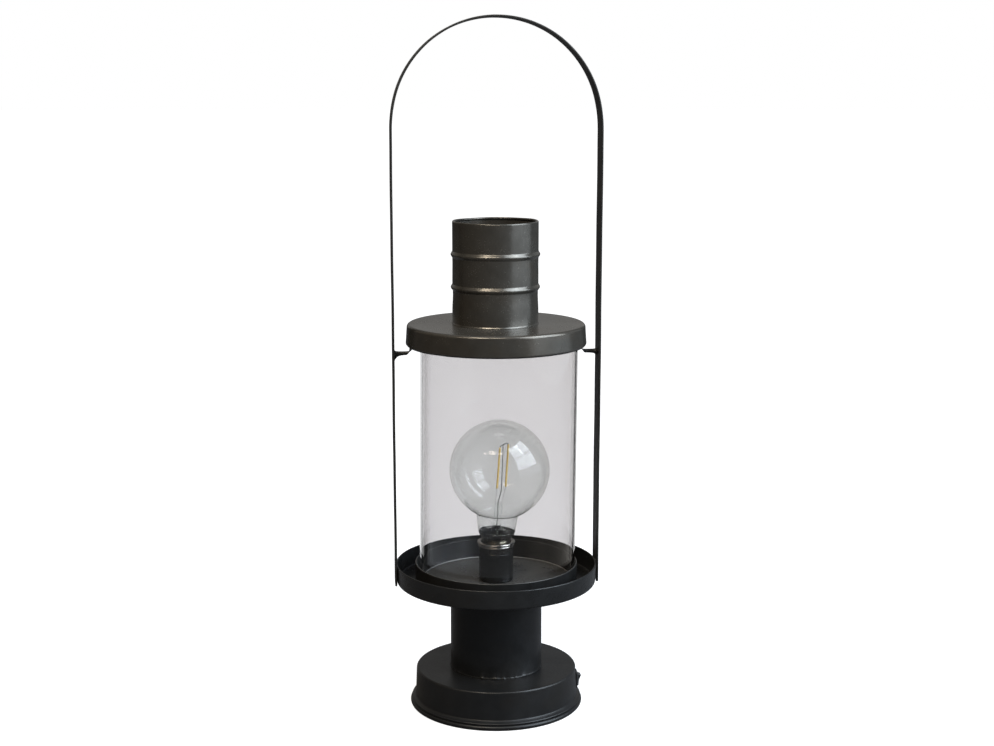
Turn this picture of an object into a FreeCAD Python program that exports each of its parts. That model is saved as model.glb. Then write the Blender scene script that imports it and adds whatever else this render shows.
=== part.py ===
import FreeCAD, Part
import os
import math

os.makedirs("parts", exist_ok=True)
V = FreeCAD.Vector

# ---------------------------------------------------------------------------
# Lantern table lamp.  Millimetres, +Z up, origin at the centre of the base's
# underside.  The carrying strap lies in the XZ plane, the front is -Y, the
# rocker switch is at +X and the cord inlet at +Y (the back).
# ---------------------------------------------------------------------------

# ---- base ----
BASE_TOP_Z = 36.2          # upper face of the base drum
BASE_TOP_R = 77.2          # drum radius at its top edge
BASE_LOW_R = 78.3          # drum radius above the foot
SHEET = 1.2                # drum and column sheet
LIP_R = 1.1                # hem along the drum's lower edge
LIP_RC = 80.9
LIP_Z = 6.05
PLATE_RIM_R = 2.45         # rolled rim of the base plate
PLATE_RIM_RC = 80.85       # outer radius 83.3
PLATE_Z = 2.6
PLATE_T = 1.0
FELT_R = 77.3
POST_PCD_R = 58.0
POST_ANGLES = (45.0, 165.0, 285.0)

# ---- column and tray ----
COLUMN_R = 44.0
TRAY_Z = 121.4             # underside of the tray
TRAY_T = 1.0
TRAY_LOW_R = 95.6
TRAY_RIM_R = 96.3
TRAY_RIM_Z = 139.9
RING_R = 77.7              # gallery ring round the glass
RING_T = 1.0
RING_TOP_Z = 140.9

# ---- carrying strap ----
STRAP_W = 27.0
STRAP_T = 2.0
ARCH_R = 97.5              # crest, outer radius
ARCH_Z = 558.2             # crest centre, so the top is at 655.7
HAUNCH_R = 123.0           # larger radius where the arch runs into the legs
HAUNCH_DEG = 15.0
STRAP_FOOT_X = 97.75       # outer face at the tray
STRAP_FOOT_Z = 120.6

# ---- wire hooks under the cap ----
WIRE_R = 1.85
HOOK_Z = 344.7
HOOK_LEG_X = 79.9
HOOK_BEND_R = 5.0
HOOK_TOP_Z = 361.5

# ---- glass, cap and chimney ----
GLASS_R = 74.6
GLASS_T = 2.0
GLASS_Z0 = 122.7
GLASS_Z1 = 370.8
GLASS_X0 = 0.9             # the cylinder stands off centre in its ring
GLASS_LEAN = 0.45          # and leans a little, its ends being cut out of square
CAP_Z = 372.3              # upper face of the cap
CAP_T = 1.2
CAP_TOP_R = 83.9
CAP_LOW_R = 85.0
CAP_LOW_Z = 351.9
CAP_HOLE_R = 36.0
CHIM_X = -0.7              # the chimney is welded on slightly off centre
CHIM_R = 40.3
CHIM_T = 0.8
CHIM_TOP_Z = 468.6
BEAD_Z = (406.7, 437.4)
BEAD_H = 1.9

# ---- lampholder ----
HOLD_R = 16.5
HOLD_Z0 = 122.45
HOLD_SEAM_Z = 150.6
HOLD_TOP_Z = 156.4
RIM_R = 18.35
RIM_Z0 = 156.45
RIM_Z1 = 161.0
SHELL_IN_R = 13.4

# ---- lamp bulb, 95 mm globe on a 27 mm screw cap ----
GLOBE_R = 48.0
GLOBE_Z = 230.8
GLOBE_T = 0.8
CAP27_R = 13.0
LEAN_DEG = 2.7             # the envelope stands slightly crooked in its cap
LEAN_Z = 160.0

# ---- rocker switch ----
SW_Z = 18.9
SW_PIVOT_X = 77.2
SW_FLANGE_X0 = 78.4
SW_FLANGE_X1 = 79.6
SW_W = 11.2
SW_H = 16.4
SW_BODY_W = 9.2
SW_BODY_H = 14.7
SW_OPEN_W = 7.6
SW_OPEN_H = 13.5
ROCK_W = 7.0
ROCK_TILT = 12.5
TRUN_R = 1.0

# ---- cord inlet ----
BUSH_Z = 19.0
BUSH_BORE_R = 3.3
BUSH_HOLE_R = 5.1


def write(name, shape):
    if shape.ShapeType != "Compound" and not shape.isValid():
        shape = shape.removeSplitter()
    print("%-22s valid %s solids %d volume %.1f" % (name, shape.isValid(), len(shape.Solids), shape.Volume))
    shape.exportStep("parts/%s.step" % name)


# ---- two-dimensional helpers: a path of straight runs with rounded corners ----
def path_segments(verts):
    out = []
    n = len(verts)
    start = verts[0][:2]
    for i in range(1, n - 1):
        px, pz = verts[i - 1][:2]
        x, z, fr = verts[i]
        nx, nz = verts[i + 1][:2]
        l1 = math.hypot(x - px, z - pz)
        l2 = math.hypot(nx - x, nz - z)
        d1 = ((x - px) / l1, (z - pz) / l1)
        d2 = ((nx - x) / l2, (nz - z) / l2)
        cr = d1[0] * d2[1] - d1[1] * d2[0]
        dt = max(-1.0, min(1.0, d1[0] * d2[0] + d1[1] * d2[1]))
        phi = math.acos(dt)
        if fr <= 0.02 or phi < 1e-4:
            out.append(("L", start, (x, z)))
            start = (x, z)
            continue
        tl = fr * math.tan(phi / 2)
        a = (x - d1[0] * tl, z - d1[1] * tl)
        b = (x + d2[0] * tl, z + d2[1] * tl)
        s = 1.0 if cr > 0 else -1.0
        c = (a[0] - s * d1[1] * fr, a[1] + s * d1[0] * fr)
        vx, vz = x - c[0], z - c[1]
        vl = math.hypot(vx, vz)
        m = (c[0] + vx / vl * fr, c[1] + vz / vl * fr)
        if math.hypot(a[0] - start[0], a[1] - start[1]) > 1e-6:
            out.append(("L", start, a))
        out.append(("A", a, m, b))
        start = b
    out.append(("L", start, verts[-1][:2]))
    return out


def offset_path(verts, t):
    """The path moved to its left by t, with its corner radii changed to suit."""
    n = len(verts)
    dirs = []
    for i in range(n - 1):
        x0, z0 = verts[i][:2]
        x1, z1 = verts[i + 1][:2]
        l = math.hypot(x1 - x0, z1 - z0)
        dirs.append(((x1 - x0) / l, (z1 - z0) / l))
    res = []
    for i in range(n):
        x, z = verts[i][:2]
        fr = verts[i][2] if len(verts[i]) > 2 else 0.0
        if i == 0 or i == n - 1:
            d = dirs[0] if i == 0 else dirs[-1]
            res.append((x - d[1] * t, z + d[0] * t, 0.0))
            continue
        d1, d2 = dirs[i - 1], dirs[i]
        n1 = (-d1[1], d1[0])
        n2 = (-d2[1], d2[0])
        k = t / (1.0 + n1[0] * n2[0] + n1[1] * n2[1])
        cr = d1[0] * d2[1] - d1[1] * d2[0]
        f2 = (fr - t) if cr > 0 else (fr + t)
        if fr <= 0.02:
            f2 = 0.0
        res.append((x + (n1[0] + n2[0]) * k, z + (n1[1] + n2[1]) * k, max(f2, 0.0)))
    return res


def edges_of(segs, to3):
    es = []
    for s in segs:
        if s[0] == "L":
            es.append(Part.makeLine(to3(s[1]), to3(s[2])))
        else:
            es.append(Part.Arc(to3(s[1]), to3(s[2]), to3(s[3])).toShape())
    return es


def xz(p):
    return V(p[0], 0, p[1])


def face_from(edges):
    w = Part.Wire(Part.__sortEdges__(edges))
    return Part.Face(w)


def sheet_face(verts, t):
    a = path_segments(verts)
    off = offset_path(verts, t)
    b = path_segments(off)
    es = edges_of(a, xz) + edges_of(b, xz)
    es.append(Part.makeLine(xz(verts[0][:2]), xz(off[0][:2])))
    es.append(Part.makeLine(xz(verts[-1][:2]), xz(off[-1][:2])))
    return face_from(es)


def spin(face):
    s = face.revolve(V(0, 0, 0), V(0, 0, 1), 360)
    if s.ShapeType == "Shell":
        s = Part.Solid(s)
    if s.Volume < 0:
        s.reverse()
    return s


def poly_spin(verts):
    """A closed outline in (radius, height), corners rounded, spun about Z."""
    n = len(verts)
    v = list(verts)
    # start in the middle of the closing edge so that every corner can be rounded
    x0 = (v[-1][0] + v[0][0]) / 2.0
    z0 = (v[-1][1] + v[0][1]) / 2.0
    vv = [(x0, z0, 0.0)] + [(p[0], p[1], p[2] if len(p) > 2 else 0.0) for p in v] + [(x0, z0, 0.0)]
    return spin(face_from(edges_of(path_segments(vv), xz)))


def ring(r_out, r_in, z0, z1, f=0.0):
    return poly_spin([(r_in, z0, f), (r_out, z0, f), (r_out, z1, f), (r_in, z1, f)])


def cyl(r, h, p, d=V(0, 0, 1)):
    return Part.makeCylinder(r, h, p, d)


def box(x0, y0, z0, x1, y1, z1):
    return Part.makeBox(x1 - x0, y1 - y0, z1 - z0, V(x0, y0, z0))


def rbox(x0, y0, z0, x1, y1, z1, r, axis="x"):
    b = box(x0, y0, z0, x1, y1, z1)
    es = []
    for e in b.Edges:
        a, c = e.Vertexes[0].Point, e.Vertexes[1].Point
        d = c - a
        along = {"x": abs(d.x), "y": abs(d.y), "z": abs(d.z)}[axis]
        if along > 1e-6:
            es.append(e)
    return b.makeFillet(r, es)


def torus(rc, r, z):
    return Part.makeTorus(rc, r, V(0, 0, z), V(0, 0, 1))


def tube(points, radius, bends):
    """A round wire along points, with tangent arcs of the given radii."""
    pts = [V(*p) for p in points]
    es = []
    start = pts[0]
    for i in range(1, len(pts) - 1):
        a, b, c = pts[i - 1], pts[i], pts[i + 1]
        d1 = (b - a)
        d1.normalize()
        d2 = (c - b)
        d2.normalize()
        phi = math.acos(max(-1, min(1, d1.dot(d2))))
        r = bends[i - 1] if isinstance(bends, (list, tuple)) else bends
        tl = r * math.tan(phi / 2)
        p = b - d1 * tl
        q = b + d2 * tl
        bis = (d2 - d1)
        bis.normalize()
        cen = b + bis * (r / math.cos(phi / 2))
        m = cen - bis * r
        if (p - start).Length > 1e-6:
            es.append(Part.makeLine(start, p))
        es.append(Part.Arc(p, m, q).toShape())
        start = q
    es.append(Part.makeLine(start, pts[-1]))
    w = Part.Wire(es)
    d = pts[1] - pts[0]
    d.normalize()
    c = Part.Wire([Part.makeCircle(radius, pts[0], d)])
    s = w.makePipeShell([c], True, True)
    if s.Volume < 0:
        s.reverse()
    want = math.pi * radius * radius * w.Length
    print("   wire length %.1f, volume %.2f against %.2f" % (w.Length, s.Volume, want))
    return s


def compound(shapes):
    return Part.makeCompound(shapes)


# ===========================================================================
# Base
# ===========================================================================
# The drum: a spun pan upside down, its side a little flared, running in a
# concave curve into a hemmed foot.
drum_path = [
    (8.0, BASE_TOP_Z, 0),
    (BASE_TOP_R - 0.05, BASE_TOP_Z, 1.9),
    (BASE_LOW_R - 0.05, 9.6, 3.2),
    (LIP_RC + 0.1, LIP_Z + 0.55, 0),
]
drum = spin(sheet_face(drum_path, -SHEET))
drum = drum.fuse(torus(LIP_RC, LIP_R, LIP_Z)).removeSplitter()
# cut-out for the switch body, and the round hole for the cord bush
drum = drum.cut(box(66, -SW_BODY_W / 2 - 0.2, SW_Z - SW_BODY_H / 2 - 0.2, 90, SW_BODY_W / 2 + 0.2, SW_Z + SW_BODY_H / 2 + 0.2))
drum = drum.cut(cyl(BUSH_HOLE_R, 30, V(0, 62, BUSH_Z), V(0, 1, 0)))
write("base_drum", drum)

# The base plate: a steel disc whose edge is rolled into a thick rim.
plate = cyl(PLATE_RIM_RC, PLATE_T, V(0, 0, PLATE_Z)).fuse(torus(PLATE_RIM_RC, PLATE_RIM_R, PLATE_RIM_R)).removeSplitter()
posts, screws = [], []
felt = cyl(FELT_R, PLATE_Z - 0.05, V(0, 0, 0))
for a in POST_ANGLES:
    px = POST_PCD_R * math.cos(math.radians(a))
    py = POST_PCD_R * math.sin(math.radians(a))
    plate = plate.cut(cyl(2.2, 10, V(px, py, -1)))
    felt = felt.cut(cyl(4.6, 10, V(px, py, -1)))
    z0 = PLATE_Z + PLATE_T + 0.02
    z1 = BASE_TOP_Z - SHEET - 0.02
    posts.append(cyl(4.0, z1 - z0, V(px, py, z0)).cut(cyl(1.7, 16, V(px, py, z0 - 1))))
    head = cyl(3.8, 2.0, V(px, py, PLATE_Z - 2.02)).cut(box(px - 0.45, py - 3.0, PLATE_Z - 2.1, px + 0.45, py + 3.0, PLATE_Z - 1.1))
    head = head.cut(box(px - 3.0, py - 0.45, PLATE_Z - 2.1, px + 3.0, py + 0.45, PLATE_Z - 1.1))
    screws.append(head.fuse(cyl(1.62, 13.0, V(px, py, PLATE_Z - 0.1))).removeSplitter())
write("base_plate", plate)
write("base_felt", felt)
write("base_posts", compound(posts))
write("base_plate_screws", compound(screws))

# Rubber grommet where the leads pass through the drum's top into the column.
grom = poly_spin([(5.0, 33.4, 0.5), (10.4, 33.4, 0.6), (10.4, 34.95, 0.0), (7.95, 34.95, 0.0), (7.95, 36.25, 0.0),
                  (10.4, 36.25, 0.0), (10.4, 37.8, 0.6), (5.0, 37.8, 0.5)])
write("lead_grommet", grom)

# ===========================================================================
# Column with its welded foot
# ===========================================================================
col = ring(COLUMN_R, COLUMN_R - SHEET, BASE_TOP_Z + 0.02, TRAY_Z - 0.02)
weld = torus(COLUMN_R + 0.25, 0.75, BASE_TOP_Z + 0.77)
col = col.fuse(weld).removeSplitter()
write("column_tube", col)

# ===========================================================================
# Tray and gallery ring
# ===========================================================================
tray_path = [(5.1, TRAY_Z, 0), (TRAY_LOW_R, TRAY_Z, 2.4), (TRAY_RIM_R, TRAY_RIM_Z - 0.7, 0)]
tray = spin(sheet_face(tray_path, TRAY_T))
tray = tray.fuse(torus(TRAY_RIM_R - 0.72, 0.72, TRAY_RIM_Z - 0.72)).removeSplitter()
write("tray_pan", tray)
gal = ring(RING_R, RING_R - RING_T, TRAY_Z + TRAY_T + 0.02, RING_TOP_Z, 0.35)
write("gallery_ring", gal)

# ===========================================================================
# Carrying strap: one flat bar bent into an arch, its legs welded to the tray
# ===========================================================================
a0 = math.radians(HAUNCH_DEG)
c2x = (HAUNCH_R - ARCH_R) * math.cos(a0)
c2z = ARCH_Z - (HAUNCH_R - ARCH_R) * math.sin(a0)


def arch_edges(off):
    r1 = ARCH_R - off
    r2 = HAUNCH_R - off
    es = []
    for s in (-1, 1):
        foot = V(s * (STRAP_FOOT_X - off), 0, STRAP_FOOT_Z)
        low = V(-s * (c2x - r2), 0, c2z) if s < 0 else V(r2 - c2x, 0, c2z)
        low = V(s * (r2 - c2x), 0, c2z)
        mid = V(s * (r2 * math.cos(a0 / 2) - c2x), 0, c2z + r2 * math.sin(a0 / 2))
        top = V(s * (r2 * math.cos(a0) - c2x), 0, c2z + r2 * math.sin(a0))
        es.append(Part.makeLine(foot, low))
        es.append(Part.Arc(low, mid, top).toShape())
    t1 = V(-(r2 * math.cos(a0) - c2x), 0, c2z + r2 * math.sin(a0))
    t2 = V((r2 * math.cos(a0) - c2x), 0, c2z + r2 * math.sin(a0))
    es.append(Part.Arc(t1, V(0, 0, ARCH_Z + r1), t2).toShape())
    return es


es = arch_edges(0.0) + arch_edges(STRAP_T)
for s in (-1, 1):
    es.append(Part.makeLine(V(s * STRAP_FOOT_X, 0, STRAP_FOOT_Z), V(s * (STRAP_FOOT_X - STRAP_T), 0, STRAP_FOOT_Z)))
strap = face_from(es)
strap.translate(V(0, -STRAP_W / 2, 0))
strap = strap.extrude(V(0, STRAP_W, 0))
# the legs are dressed to the round of the tray where they are welded to it
strap = strap.cut(cyl(TRAY_RIM_R + 0.03, TRAY_RIM_Z + 0.05 - 110.0, V(0, 0, 110.0)))
write("handle_strap", strap)


def strap_inner_x(z):
    low_x = (HAUNCH_R - STRAP_T) - c2x
    f = (z - STRAP_FOOT_Z) / (c2z - STRAP_FOOT_Z)
    return (STRAP_FOOT_X - STRAP_T) + f * (low_x - (STRAP_FOOT_X - STRAP_T))


# Wire hooks: each runs in from the strap, turns up inside the cap's skirt and
# keeps the cap from sliding off sideways.
sx = strap_inner_x(HOOK_Z) - 0.02
for name, s, drop in (("bracket_left", -1, 7.5), ("bracket_right", 1, 3.5)):
    w = tube([(s * sx, 0, HOOK_Z), (s * HOOK_LEG_X, 0, HOOK_Z), (s * HOOK_LEG_X, 0, HOOK_TOP_Z - WIRE_R)], WIRE_R, HOOK_BEND_R)
    tip = Part.makeSphere(WIRE_R, V(s * HOOK_LEG_X, 0, HOOK_TOP_Z - WIRE_R))
    cone = Part.makeCone(3.2, WIRE_R, 3.4, V(s * sx, 0, HOOK_Z), V(-s, 0, 0))
    tri = Part.Face(Part.makePolygon([V(s * sx, -1.3, HOOK_Z), V(s * sx, -1.3, HOOK_Z - WIRE_R - drop),
                                      V(s * (sx - 1.2), -1.3, HOOK_Z - WIRE_R - drop * 0.55),
                                      V(s * (sx - 4.4), -1.3, HOOK_Z - 0.4), V(s * sx, -1.3, HOOK_Z)]))
    fil = tri.extrude(V(0, 2.6, 0))
    hook = w.fuse([tip, cone, fil]).removeSplitter()
    write(name, hook)

# ===========================================================================
# Glass cylinder
# ===========================================================================
glass = ring(GLASS_R, GLASS_R - GLASS_T, GLASS_Z0 - 4.0, GLASS_Z1 + 4.0)
glass.rotate(V(0, 0, GLASS_Z0), V(0, 1, 0), GLASS_LEAN)
glass.translate(V(GLASS_X0, 0, 0))
glass = glass.common(box(-100, -100, GLASS_Z0, 100, 100, GLASS_Z1)).removeSplitter()
write("glass_cylinder", glass)

# ===========================================================================
# Cap and chimney
# ===========================================================================
cap_path = [(CAP_HOLE_R, CAP_Z, 0), (CAP_TOP_R, CAP_Z, 3.0), (CAP_LOW_R + 0.05, CAP_LOW_Z + 1.6, 1.6),
            (CAP_LOW_R - 1.3, CAP_LOW_Z + 0.02, 0)]
capl = spin(sheet_face(cap_path, -CAP_T))
write("cap_lid", capl)

cv = [(CHIM_R, CAP_Z + 0.02, 0)]
for zb in BEAD_Z:
    cv += [(CHIM_R - (0.25 if zb == BEAD_Z[0] else 0.0), zb - 3.1, 1.4), (CHIM_R + BEAD_H, zb, 2.0), (CHIM_R, zb + 3.1, 1.4)]
cv += [(CHIM_R, CHIM_TOP_Z - 1.1, 0)]
chim = spin(sheet_face(cv, CHIM_T))
chim = chim.fuse(torus(CHIM_R - 1.1, 1.1, CHIM_TOP_Z - 1.1))
chim = chim.fuse(torus(CHIM_R + 0.2, 0.9, CAP_Z + 0.92)).removeSplitter()
chim.translate(V(CHIM_X, 0, 0))
write("chimney_tube", chim)

# ===========================================================================
# Threaded nipple that holds the lampholder on the tray
# ===========================================================================
write("holder_nipple", ring(5.0, 3.5, 114.0, 127.0, 0.25))
write("nipple_washer", ring(10.0, 5.2, TRAY_Z - 1.42, TRAY_Z - 0.02, 0.15))
hexpts = [V(8.08 * math.cos(math.radians(60 * i)), 8.08 * math.sin(math.radians(60 * i)), 116.0) for i in range(7)]
nut = Part.Face(Part.makePolygon(hexpts)).extrude(V(0, 0, 3.9)).cut(cyl(5.06, 10, V(0, 0, 112)))
nut = nut.common(Part.makeCone(7.2, 11.1, 3.9, V(0, 0, 116.0))).removeSplitter()
write("nipple_nut", nut)

# ===========================================================================
# Lampholder, screw type for a 27 mm cap
# ===========================================================================
hc = poly_spin([(5.06, HOLD_Z0, 0), (HOLD_R, HOLD_Z0, 1.6), (HOLD_R, HOLD_SEAM_Z - 0.1, 0.3), (HOLD_R - 1.5, HOLD_SEAM_Z - 0.1, 0.0),
                (HOLD_R - 1.5, HOLD_Z0 + 2.4, 0.8), (5.06, HOLD_Z0 + 2.4, 0.0)])
write("holder_cap", hc)
hb = poly_spin([(HOLD_R - 1.5, HOLD_SEAM_Z + 0.05, 0), (HOLD_R, HOLD_SEAM_Z + 0.05, 0.35), (HOLD_R + 0.25, HOLD_TOP_Z, 0.3),
                (HOLD_R - 1.5, HOLD_TOP_Z, 0.0)])
write("holder_skirt", hb)
hr = poly_spin([(14.75, RIM_Z0, 0.3), (17.2, RIM_Z0, 0.4), (17.6, RIM_Z0 + 1.2, 0.4), (16.9, RIM_Z0 + 1.75, 0.3),
                (RIM_R, RIM_Z0 + 2.2, 0.7), (RIM_R, RIM_Z1 - 0.7, 0.8), (16.6, RIM_Z1, 0.7), (14.75, RIM_Z1 - 0.3, 0.5)])
write("holder_rim", hr)
core = cyl(14.4, 10.0, V(0, 0, 131.0))
for s in (-1, 1):
    core = core.cut(cyl(1.9, 3.4, V(s * 7.5, 0, 130.5)))
write("holder_core", core)
# screw shell: a thin sleeve with rolled thread ridges standing out of it
sv = [(SHELL_IN_R, 141.3, 0)]
z = 143.0
while z < 158.5:
    sv += [(SHELL_IN_R, z, 0.5), (SHELL_IN_R + 0.65, z + 1.3, 0.5), (SHELL_IN_R, z + 2.6, 0.5)]
    z += 3.629
sv += [(SHELL_IN_R, 161.6, 0)]
write("holder_screw_shell", spin(sheet_face(sv, -0.35)))
tong = rbox(-6.5, -2.0, 141.03, 6.5, 2.0, 141.5, 1.5, "z")
write("holder_tongue", tong)
ts = []
for s in (-1, 1):
    hd = cyl(3.0, 1.6, V(s * 7.5, 0, 129.35)).cut(box(s * 7.5 - 3.5, -0.4, 129.2, s * 7.5 + 3.5, 0.4, 129.9))
    ts.append(hd.fuse(cyl(1.75, 3.0, V(s * 7.5, 0, 130.6))).removeSplitter())
write("holder_terminal_screws", compound(ts))

# ===========================================================================
# Lamp bulb
# ===========================================================================
def lean(shape):
    shape.rotate(V(0, 0, LEAN_Z), V(0, 1, 0), LEAN_DEG)
    return shape


neck_out = [(15.2, 165.4), (16.6, 167.2), (17.9, 170.8), (18.7, 176.0), (19.4, 181.5), (20.3, 186.4)]
rj = 21.6
zj = GLOBE_Z - math.sqrt(GLOBE_R ** 2 - rj ** 2)


def env_face(t):
    """Outline of the glass envelope, inward from the outer face by t."""
    pts = [V(r - t, 0, z0) for r, z0 in neck_out] + [V(rj - t * 0.7, 0, zj + t * 0.75)]
    if t > 0:
        rr = GLOBE_R - t
        x = rj - t * 0.9
        pts[-1] = V(x, 0, GLOBE_Z - math.sqrt(rr ** 2 - x ** 2))
    bs = Part.BSplineCurve()
    bs.interpolate(pts)
    rr = GLOBE_R - t
    arc = Part.Arc(pts[-1], V(rr, 0, GLOBE_Z), V(0, 0, GLOBE_Z + rr))
    return bs.toShape(), arc.toShape(), pts


o_s, o_a, o_p = env_face(0.0)
i_s, i_a, i_p = env_face(GLOBE_T)
es = [o_s, o_a, i_s, i_a,
      Part.makeLine(V(0, 0, GLOBE_Z + GLOBE_R), V(0, 0, GLOBE_Z + GLOBE_R - GLOBE_T)),
      Part.makeLine(o_p[0], V(12.0, 0, 165.2)), Part.makeLine(V(12.0, 0, 165.2), V(12.0, 0, 158.0)),
      Part.makeLine(V(12.0, 0, 158.0), V(11.2, 0, 158.0)), Part.makeLine(V(11.2, 0, 158.0), V(11.2, 0, 165.9)),
      Part.makeLine(V(11.2, 0, 165.9), i_p[0])]
globe = lean(spin(face_from(es)))
write("bulb_globe", globe)

# screw cap with rolled threads
bv = [(8.0, 147.0, 0), (12.2, 147.6, 0.8)]
z = 148.6
while z < 160.0:
    bv += [(12.35, z, 0.5), (CAP27_R + 0.1, z + 1.3, 0.6), (12.35, z + 2.6, 0.5)]
    z += 3.629
bv += [(12.5, 163.3, 0.2), (14.5, 163.5, 0.5), (14.6, 164.6, 0)]
bcap = spin(sheet_face(bv, 0.25))
write("bulb_screw_cap", bcap)
write("bulb_insulator", poly_spin([(4.6, 144.2, 0.4), (6.6, 144.2, 0.6), (11.4, 146.85, 0.3), (4.6, 146.85, 0.0)]))
tipc = cyl(4.5, 2.4, V(0, 0, 143.2)).fuse(Part.makeSphere(3.6, V(0, 0, 145.45), V(0, 0, 1), -90, 0)).removeSplitter()
write("bulb_tip_contact", tipc)

# glass stem with its flattened press, centre support wire and two filaments
stem = poly_spin([(0.001, 162.0, 0), (9.5, 162.0, 0.4), (9.5, 163.0, 0.3), (4.4, 168.5, 4.0), (3.2, 184.0, 3.0), (2.4, 190.0, 0.0), (0.001, 190.0, 0)])
press = rbox(-3.4, -1.3, 188.5, 4.6, 1.3, 198.5, 1.2, "x")
stem = lean(stem.fuse(press).removeSplitter())
write("bulb_stem", stem)
w1 = tube([(0.0, 0.0, 196.0), (0.2, 0.0, 199.0), (2.7, 0.0, 210.5), (2.3, 0.0, 256.0)], 0.32, 1.5)
w1a = tube([(2.3, 0.0, 255.2), (-0.85, -2.6, 253.2)], 0.28, 1.0)
w1b = tube([(2.3, 0.0, 255.2), (7.6, 2.6, 255.6)], 0.28, 1.0)
w2 = tube([(-2.2, 0.0, 196.5), (-2.4, -0.6, 201.0), (-1.85, -2.6, 212.4)], 0.28, 2.0)
w3 = tube([(3.6, 0.0, 196.5), (4.2, 0.6, 201.0), (6.9, 2.6, 213.2)], 0.28, 2.0)
write("bulb_lead_wires", lean(compound([w1, w1a, w1b, w2, w3])))
fs = []
for p0, p1 in (((-1.85, -2.6, 212.6), (-0.85, -2.6, 253.0)), ((6.9, 2.6, 213.4), (7.6, 2.6, 255.4))):
    a, b = V(*p0), V(*p1)
    d = b - a
    l = d.Length
    d.normalize()
    fs.append(cyl(0.95, l, a, d))
write("bulb_filaments", lean(compound(fs)))
write("bulb_driver_board", rbox(-7.5, -0.8, 149.0, 7.5, 0.8, 160.5, 1.5, "y"))

# ===========================================================================
# Rocker switch at the side of the base
# ===========================================================================
fl = rbox(SW_FLANGE_X0, -SW_W / 2, SW_Z - SW_H / 2, SW_FLANGE_X1, SW_W / 2, SW_Z + SW_H / 2, 1.2, "x")
bd = box(63.0, -SW_BODY_W / 2, SW_Z - SW_BODY_H / 2, SW_FLANGE_X0 + 0.1, SW_BODY_W / 2, SW_Z + SW_BODY_H / 2)
hs = fl.fuse(bd).removeSplitter()
hs = hs.cut(box(66.5, -SW_OPEN_W / 2, SW_Z - SW_OPEN_H / 2, 90, SW_OPEN_W / 2, SW_Z + SW_OPEN_H / 2))
hs = hs.cut(cyl(TRUN_R + 0.06, 40, V(SW_PIVOT_X, -20, SW_Z), V(0, 1, 0)))
for zt in (SW_Z - 3.6, SW_Z + 3.6):
    hs = hs.cut(box(60, -2.5, zt - 0.45, 68, 2.5, zt + 0.45))
write("switch_housing", hs)
# The rocker, drawn level and then tipped so that its upper end stands out.
ro = [(4.35, 0.0), (5.0, 5.4), (0.0, 6.3), (-3.2, 5.6), (-4.2, 2.4), (-4.2, -2.4), (-3.2, -5.6), (0.0, -6.3), (5.0, -5.4), (4.35, 0.0)]
rk = Part.Face(Part.makePolygon([V(x, 0, z) for x, z in ro]))
rk.translate(V(0, -ROCK_W / 2, 0))
rk = rk.extrude(V(0, ROCK_W, 0))
rk = rk.cut(box(-9, -2.3, -3.6, -1.4, 2.3, 3.6))
rk = rk.fuse(cyl(TRUN_R, ROCK_W + 2.2, V(0, -(ROCK_W + 2.2) / 2, 0), V(0, 1, 0))).removeSplitter()
rk.rotate(V(0, 0, 0), V(0, 1, 0), ROCK_TILT)
rk.translate(V(SW_PIVOT_X, 0, SW_Z))
write("switch_rocker", rk)
tb = []
for zt in (SW_Z - 3.6, SW_Z + 3.6):
    tb.append(box(55.0, -2.35, zt - 0.4, 66.45, 2.35, zt + 0.4))
write("switch_terminals", compound(tb))

# ===========================================================================
# Cord inlet at the back of the base: a bush and its nut, without a cord
# ===========================================================================
def y_ring(r_out, r_in, y0, y1, z):
    return cyl(r_out, y1 - y0, V(0, y0, z), V(0, 1, 0)).cut(cyl(r_in, y1 - y0 + 2, V(0, y0 - 1, z), V(0, 1, 0)))


bush = cyl(7.0, 3.0, V(0, 78.35, BUSH_Z), V(0, 1, 0)).fuse(cyl(5.0, 11.5, V(0, 69.0, BUSH_Z), V(0, 1, 0)))
bush = bush.fuse(Part.makeCone(6.2, 5.0, 2.4, V(0, 81.35, BUSH_Z), V(0, 1, 0))).removeSplitter()
bush = bush.cut(cyl(BUSH_BORE_R, 30, V(0, 62, BUSH_Z), V(0, 1, 0))).removeSplitter()
write("cord_bush", bush)
hexn = [V(8.1 * math.cos(math.radians(60 * i)), 71.6, BUSH_Z + 8.1 * math.sin(math.radians(60 * i))) for i in range(7)]
bn = Part.Face(Part.makePolygon(hexn)).extrude(V(0, 3.6, 0)).cut(cyl(5.06, 12, V(0, 66, BUSH_Z), V(0, 1, 0)))
write("cord_bush_nut", bn)

# ===========================================================================
# Wiring inside the base and column
# ===========================================================================
tbk = rbox(-34.0, 12.0, 24.6, -10.0, 26.0, 34.9, 1.0, "y")
for i in range(3):
    xk = -30.0 + 8.0 * i
    tbk = tbk.cut(cyl(1.6, 30, V(xk, 8, 29.4), V(0, 1, 0)))
    tbk = tbk.cut(cyl(1.9, 5.2, V(xk, 16.0, 24.0)))
    tbk = tbk.cut(cyl(1.9, 5.2, V(xk, 22.0, 24.0)))
write("terminal_block", tbk)
tsc = []
for i in range(3):
    xk = -30.0 + 8.0 * i
    for yk in (16.0, 22.0):
        tsc.append(cyl(1.5, 3.0, V(xk, yk, 25.1)).cut(box(xk - 1.6, yk - 0.3, 25.0, xk + 1.6, yk + 0.3, 25.7)))
write("terminal_screws", compound(tsc))
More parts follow.
